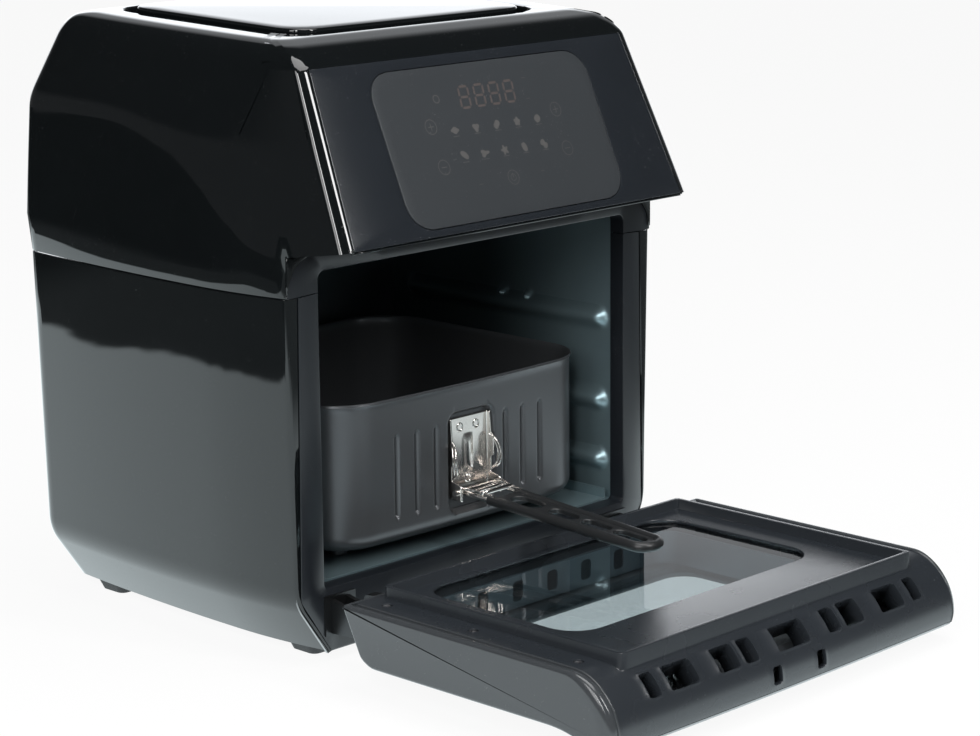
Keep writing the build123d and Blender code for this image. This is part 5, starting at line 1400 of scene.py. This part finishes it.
# Handle
# A chromed wire frame that hangs on the bracket's lugs, moulded into a black grip of two bars and a web
# with windows.
HANDLE_PIN = np.array([0.0, 3.2, 80.0])
DROP = np.arctan2(9.5, 145.5)


def held(points):
    """Turns points drawn on the level handle down by its drop, about the pin."""
    points = np.asarray(points, float)
    y = points[..., 1] * cos(DROP) - points[..., 2] * sin(DROP)
    z = points[..., 1] * sin(DROP) + points[..., 2] * cos(DROP)
    return np.stack([points[..., 0], y, z], axis=-1) + HANDLE_PIN


wires = [tube(held([(x, 0, 0) for x in np.linspace(-20.0, 20.0, 5)]), 1.9)]
for side in (-1, 1):
    wires.append(tube(held([(side * 13.0, y, 0) for y in (1.0, -8.0, -16.0, -25.0)]), 1.7))
    root_wire = smooth_path([
        (side * 15.2, -1.5, 2.4), (side * 15.2, -7.0, 3.4), (side * 13.5, -12.0, 3.2),
        (side * 12.5, -17.0, 3.0), (side * 12.5, -26.0, 2.6)])
    wires.append(tube(held(root_wire), 0.9, 10))
cross_wire = smooth_path([
    (-12.5, -15.0, 2.0), (-11.0, -17.5, 3.6), (0.0, -18.2, 4.0), (11.0, -17.5, 3.6), (12.5, -15.0, 2.0)])
wires.append(tube(held(cross_wire), 1.5, 12))
wires.append(tube(held([(x, -10.0, 2.6) for x in np.linspace(-14.0, 14.0, 5)]), 1.0, 10))
make_piece("handle_wires", wires, handle_chrome, "handle", ["handle_wire"])
grip_black = finish("grip_black", (0.012, 0.013, 0.014), 0.38, bump=0.15, drift=0.2, dust=0.1,
                    gloss_drift=0.1, grain=0.8, grain_size=1800.0)
end_turn = np.linspace(0, pi, 25)
bar_path = np.concatenate([
    np.column_stack([np.linspace(12.0, 9.6, 30), np.linspace(-22.0, -134.5, 30)]),
    np.column_stack([9.5 * np.cos(end_turn), -135.0 - 7.6 * np.sin(end_turn)])[1:-1],
    np.column_stack([np.linspace(-9.6, -12.0, 30), np.linspace(-134.5, -22.0, 30)])])
bar_path = at_height(bar_path, 0.0)
bar_points, bar_faces = tube(bar_path, 3.05, 20)
grip_parts = [(held(bar_points), bar_faces)]
web_bounds = (-24.0, -57.0, -85.0, -111.0, -140.0)
web_windows = ((-42.0, 24.0, 13.0), (-72.0, 22.0, 10.0), (-98.0, 22.0, 9.0), (-124.0, 24.0, 9.0))
web_ray = circle(64)
for (y, length, width), near, far in zip(web_windows, web_bounds, web_bounds[1:]):
    edge = web_ray / np.max(np.abs(web_ray), axis=1, keepdims=True)
    edge = edge * np.array([1.0, (near - far) / 2]) + np.array([0.0, (near + far) / 2])
    edge[:, 0] *= np.interp(-edge[:, 1], [22.0, 134.5, 141.0], [12.0, 9.6, 7.0])
    outer, inner = (rounded_loop(edge, (0.0, y), width / 2 + grow, length / 2 + grow, width / 2 + grow - 0.01)
                    for grow in (0.5, 0.0))
    rings = ((edge, 1.5), (outer, 1.5), (inner, 1.1), (inner, -1.1), (outer, -1.5), (edge, -1.5))
    web, web_quads = skin([at_height(loop, z) for loop, z in rings], closed=True)
    grip_parts.append((held(web), web_quads))
make_piece("handle_grip_moulding", grip_parts, grip_black, "handle", ["handle_grip"])

# Steel and the parts inside
# The rest of the liner, the heater, the fans and the boards are the CAD solids, each with the finish of its
# real material, except the liner's back, top and fan guard: their steel is painted darker than the walls'
# steel, as painted shade.


def dress(material, *names):
    """Gives CAD nodes a material in place of their plain one."""
    for name in names:
        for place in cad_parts[name].material_slots:
            place.material = material


# The cavity floor and the drip tray take the wall steel, with its painted shade towards the back.
dress(liner_wall, "cavity_floor", "drip_tray")
dress(basket_coating, "basket_feet")
dress(door_glass, "door_inner_glass", "door_outer_glass")
METAL = {"metallic": 1.0, "bump": 0.1}
for name, colour, roughness, life, dressed in (
    # The liner's back, top and fan guard: the walls' steel painted darker, as painted shade.
    ("liner_steel", (0.22, 0.25, 0.265), 0.32,
     {"metallic": 1.0, "bump": 0.08, "drift": 0.25, "dust": 0.15, "gloss_drift": 0.15, "wave": 0.5,
      "grain": 0.4, "wave_size": 12.0, "grain_size": 700.0}, ("cavity_back", "cavity_top", "fan_guard")),
    ("sheet_steel", (0.46, 0.48, 0.49), 0.38,
     {**METAL, "drift": 0.35, "dust": 0.2, "gloss_drift": 0.2, "wave": 0.3, "grain": 0.6, "wave_size": 30.0,
      "grain_size": 500.0}, ("base_plate", "cavity_rails", "heat_shield", "heater_clips", "motor_posts")),
    ("channel_steel", (0.035, 0.047, 0.056), 0.42,
     {"metallic": 0.3, "bump": 0.1, "drift": 0.3, "dust": 0.1, "gloss_drift": 0.15}, ("glazing_channel",)),
    ("hinge_steel", (0.050, 0.052, 0.054), 0.30,
     {"metallic": 0.9, "bump": 0.1, "drift": 0.4, "dust": 0.1, "gloss_drift": 0.2},
     ("hinge_arms", "hinge_brackets", "hinge_pins")),
    ("pin_steel", (0.62, 0.62, 0.61), 0.20,
     {"metallic": 1.0, "bump": 0.05, "drift": 0.15, "gloss_drift": 0.1},
     ("motor_shaft", "catch_pin_left", "catch_pin_right", "spit_drive")),
    ("screw_steel", (0.30, 0.30, 0.31), 0.30,
     {"metallic": 1.0, "bump": 0.08, "drift": 0.3, "gloss_drift": 0.15}, ("foot_screws",)),
    ("heater_sheath", (0.16, 0.15, 0.14), 0.48,
     {"metallic": 0.8, "bump": 0.25, "drift": 0.7, "dust": 0.2, "gloss_drift": 0.2, "wave": 0.2,
      "grain": 0.7}, ("heating_element",)),
    ("fan_aluminium", (0.60, 0.61, 0.62), 0.34, {**METAL, "drift": 0.2, "gloss_drift": 0.15},
     ("hot_air_fan", "cooling_fan")),
    ("motor_steel", (0.34, 0.35, 0.36), 0.36, {**METAL, "drift": 0.3, "gloss_drift": 0.15}, ("motor",)),
    ("black_plastic", (0.014, 0.0145, 0.015), 0.42,
     {"bump": 0.2, "drift": 0.3, "dust": 0.4, "gloss_drift": 0.1, "wave": 0.2, "grain": 0.8,
      "grain_size": 1800.0}, ("cord_inlet", "door_bosses", "spit_motor", "catch_guides", "rear_vent")),
    ("foot_rubber", (0.016, 0.0165, 0.017), 0.62,
     {"bump": 0.25, "drift": 0.4, "dust": 0.7, "gloss_drift": 0.1, "wave": 0.2, "grain": 0.9,
      "grain_size": 1500.0}, ("feet",)),
    ("board_green", (0.015, 0.085, 0.035), 0.35, {"bump": 0.1, "drift": 0.4, "dust": 0.3},
     ("control_board", "power_board")),
    ("board_parts", (0.05, 0.05, 0.055), 0.4, {"bump": 0.1, "drift": 0.5, "dust": 0.3}, ("board_parts",)),
    ("pillar_nylon", (0.62, 0.61, 0.57), 0.45, {"bump": 0.1, "drift": 0.1, "dust": 0.3}, ("board_pillars",)),
    ("display_lens", (0.02, 0.012, 0.012), 0.15, {"bump": 0.02, "drift": 0.2, "dust": 0.1}, ("display",)),
):
    dress(finish(name, colour, roughness, **life), *dressed)

# Floor, backdrop and light
# A plain pale studio: the floor and the backdrop show white, and the floor keeps the object's shadow,
# faintly. Mirrors of the floor see a bright table round the oven, its edge a wavy line to the left, and a
# dim studio beyond.
FLOOR_HALF = 6.0
TABLE_MIDDLE = (-0.3, 0.3, 0.0)
TABLE_SIDE = (1.0, -0.43, 0.0)
SHOWN_WHITE = 0.92
BRIGHT_WAY = (0.70, 0.70, 0.14)
FILL_LIGHT = 0.36


def shown_by_ray(tree, seen, in_mirrors, as_light):
    """A shader for each kind of ray: camera and transmission rays, glossy rays, and all that bring light."""
    path = add_node(tree, "ShaderNodeLightPath").outputs
    either = maths(tree, "MAXIMUM", path["Is Camera Ray"], path["Is Transmission Ray"])
    return mixed(tree, either, mixed(tree, path["Is Glossy Ray"], as_light, in_mirrors), seen)


floor_mesh = bpy.data.meshes.new("studio_floor")
floor_mesh.from_pydata([(x * FLOOR_HALF, y * FLOOR_HALF, 0) for x, y in ((-1, -1), (1, -1), (1, 1), (-1, 1))],
                       [], [(0, 1, 2, 3)])
floor = bpy.data.objects.new("studio_floor", floor_mesh)
bpy.context.scene.collection.objects.link(floor)
floor_material = bpy.data.materials.new("studio_floor")
tree = blank_tree(floor_material)
place = add_node(tree, "ShaderNodeTexCoord").outputs["Object"]
lit = add_node(tree, "ShaderNodeBsdfDiffuse", {"Color": (0.80, 0.80, 0.80, 1.0)}).outputs[0]
shining = add_node(tree, "ShaderNodeEmission", {"Strength": 1.0}).outputs[0]
seen = mixed(tree, SHOWN_WHITE, lit, shining)
wobble = add_node(tree, "ShaderNodeTexNoise", {"Vector": place, "Scale": 2.2, "Detail": 2.0})
from_oven = add_node(tree, "ShaderNodeVectorMath", {0: place, 1: TABLE_MIDDLE}, operation="DISTANCE")
reach = maths(tree, "MULTIPLY_ADD", wobble.outputs["Fac"], 0.5, from_oven.outputs["Value"])
fade = smooth_range(tree, reach, 1.05, 1.35, 1.0, 0.14)
across_table = add_node(tree, "ShaderNodeVectorMath", {0: place, 1: TABLE_SIDE}, operation="DOT_PRODUCT")
ripple = add_node(tree, "ShaderNodeTexNoise", {"Vector": place, "Scale": 7.0})
table_side = maths(tree, "MULTIPLY_ADD", ripple.outputs["Fac"], 0.13, across_table.outputs["Value"])
table_edge = smooth_range(tree, table_side, -0.845, -0.815, 0.12, 1.7)
mirrored = add_node(tree, "ShaderNodeEmission", {
    "Color": (0.86, 0.97, 1.0, 1.0), "Strength": maths(tree, "MULTIPLY", fade, table_edge)}).outputs[0]
add_node(tree, "ShaderNodeOutputMaterial", {"Surface": shown_by_ray(tree, seen, mirrored, lit)})
floor_mesh.materials.append(floor_material)

world = bpy.data.worlds.new("studio")
bpy.context.scene.world = world
tree = blank_tree(world)
direction = add_node(tree, "ShaderNodeTexCoord").outputs["Generated"]
bright_way = Vector(BRIGHT_WAY).normalized()
bright_zone = add_node(tree, "ShaderNodeVectorMath", {0: direction, 1: bright_way}, operation="DOT_PRODUCT")
zone = smooth_range(tree, bright_zone.outputs["Value"], 0.80, 0.97, 0.12, 2.2)
height = add_node(tree, "ShaderNodeSeparateXYZ", {0: direction})
low_zone = smooth_range(tree, height.outputs["Z"], 0.15, 0.30, 1.0, 0.22)
around = add_node(tree, "ShaderNodeBackground", {
    "Color": (0.93, 0.96, 1.0, 1.0), "Strength": maths(tree, "MULTIPLY", zone, low_zone)}).outputs[0]
fill = add_node(tree, "ShaderNodeBackground", {"Strength": FILL_LIGHT}).outputs[0]
white = add_node(tree, "ShaderNodeBackground", {"Strength": 1.0}).outputs[0]
add_node(tree, "ShaderNodeOutputWorld", {"Surface": shown_by_ray(tree, white, around, fill)})


def softbox(name, place, aim, width, height, power):
    """A rectangular area lamp, aimed at a point."""
    lamp = bpy.data.lights.new(name, "AREA")
    lamp.shape = "RECTANGLE"
    lamp.size, lamp.size_y, lamp.energy = width, height, power
    holder = bpy.data.objects.new(name, lamp)
    holder.location = place
    holder.rotation_euler = (Vector(aim) - Vector(place)).to_track_quat("-Z", "Y").to_euler()
    bpy.context.scene.collection.objects.link(holder)


softbox("softbox_over", (0.1, -0.3, 1.7), (0.0, 0.0, 0.1), 1.1, 1.1, 18.0)
softbox("softbox_left", (-1.5, -0.5, 1.0), (0.0, 0.0, 0.15), 0.5, 1.0, 10.0)
softbox("strip_front", (0.26, -1.66, 1.38), (-0.14, -0.02, 0.30), 0.24, 0.9, 15.0)
softbox("strip_left", (-1.50, -1.13, 1.16), (-0.14, -0.02, 0.30), 0.26, 0.9, 15.0)
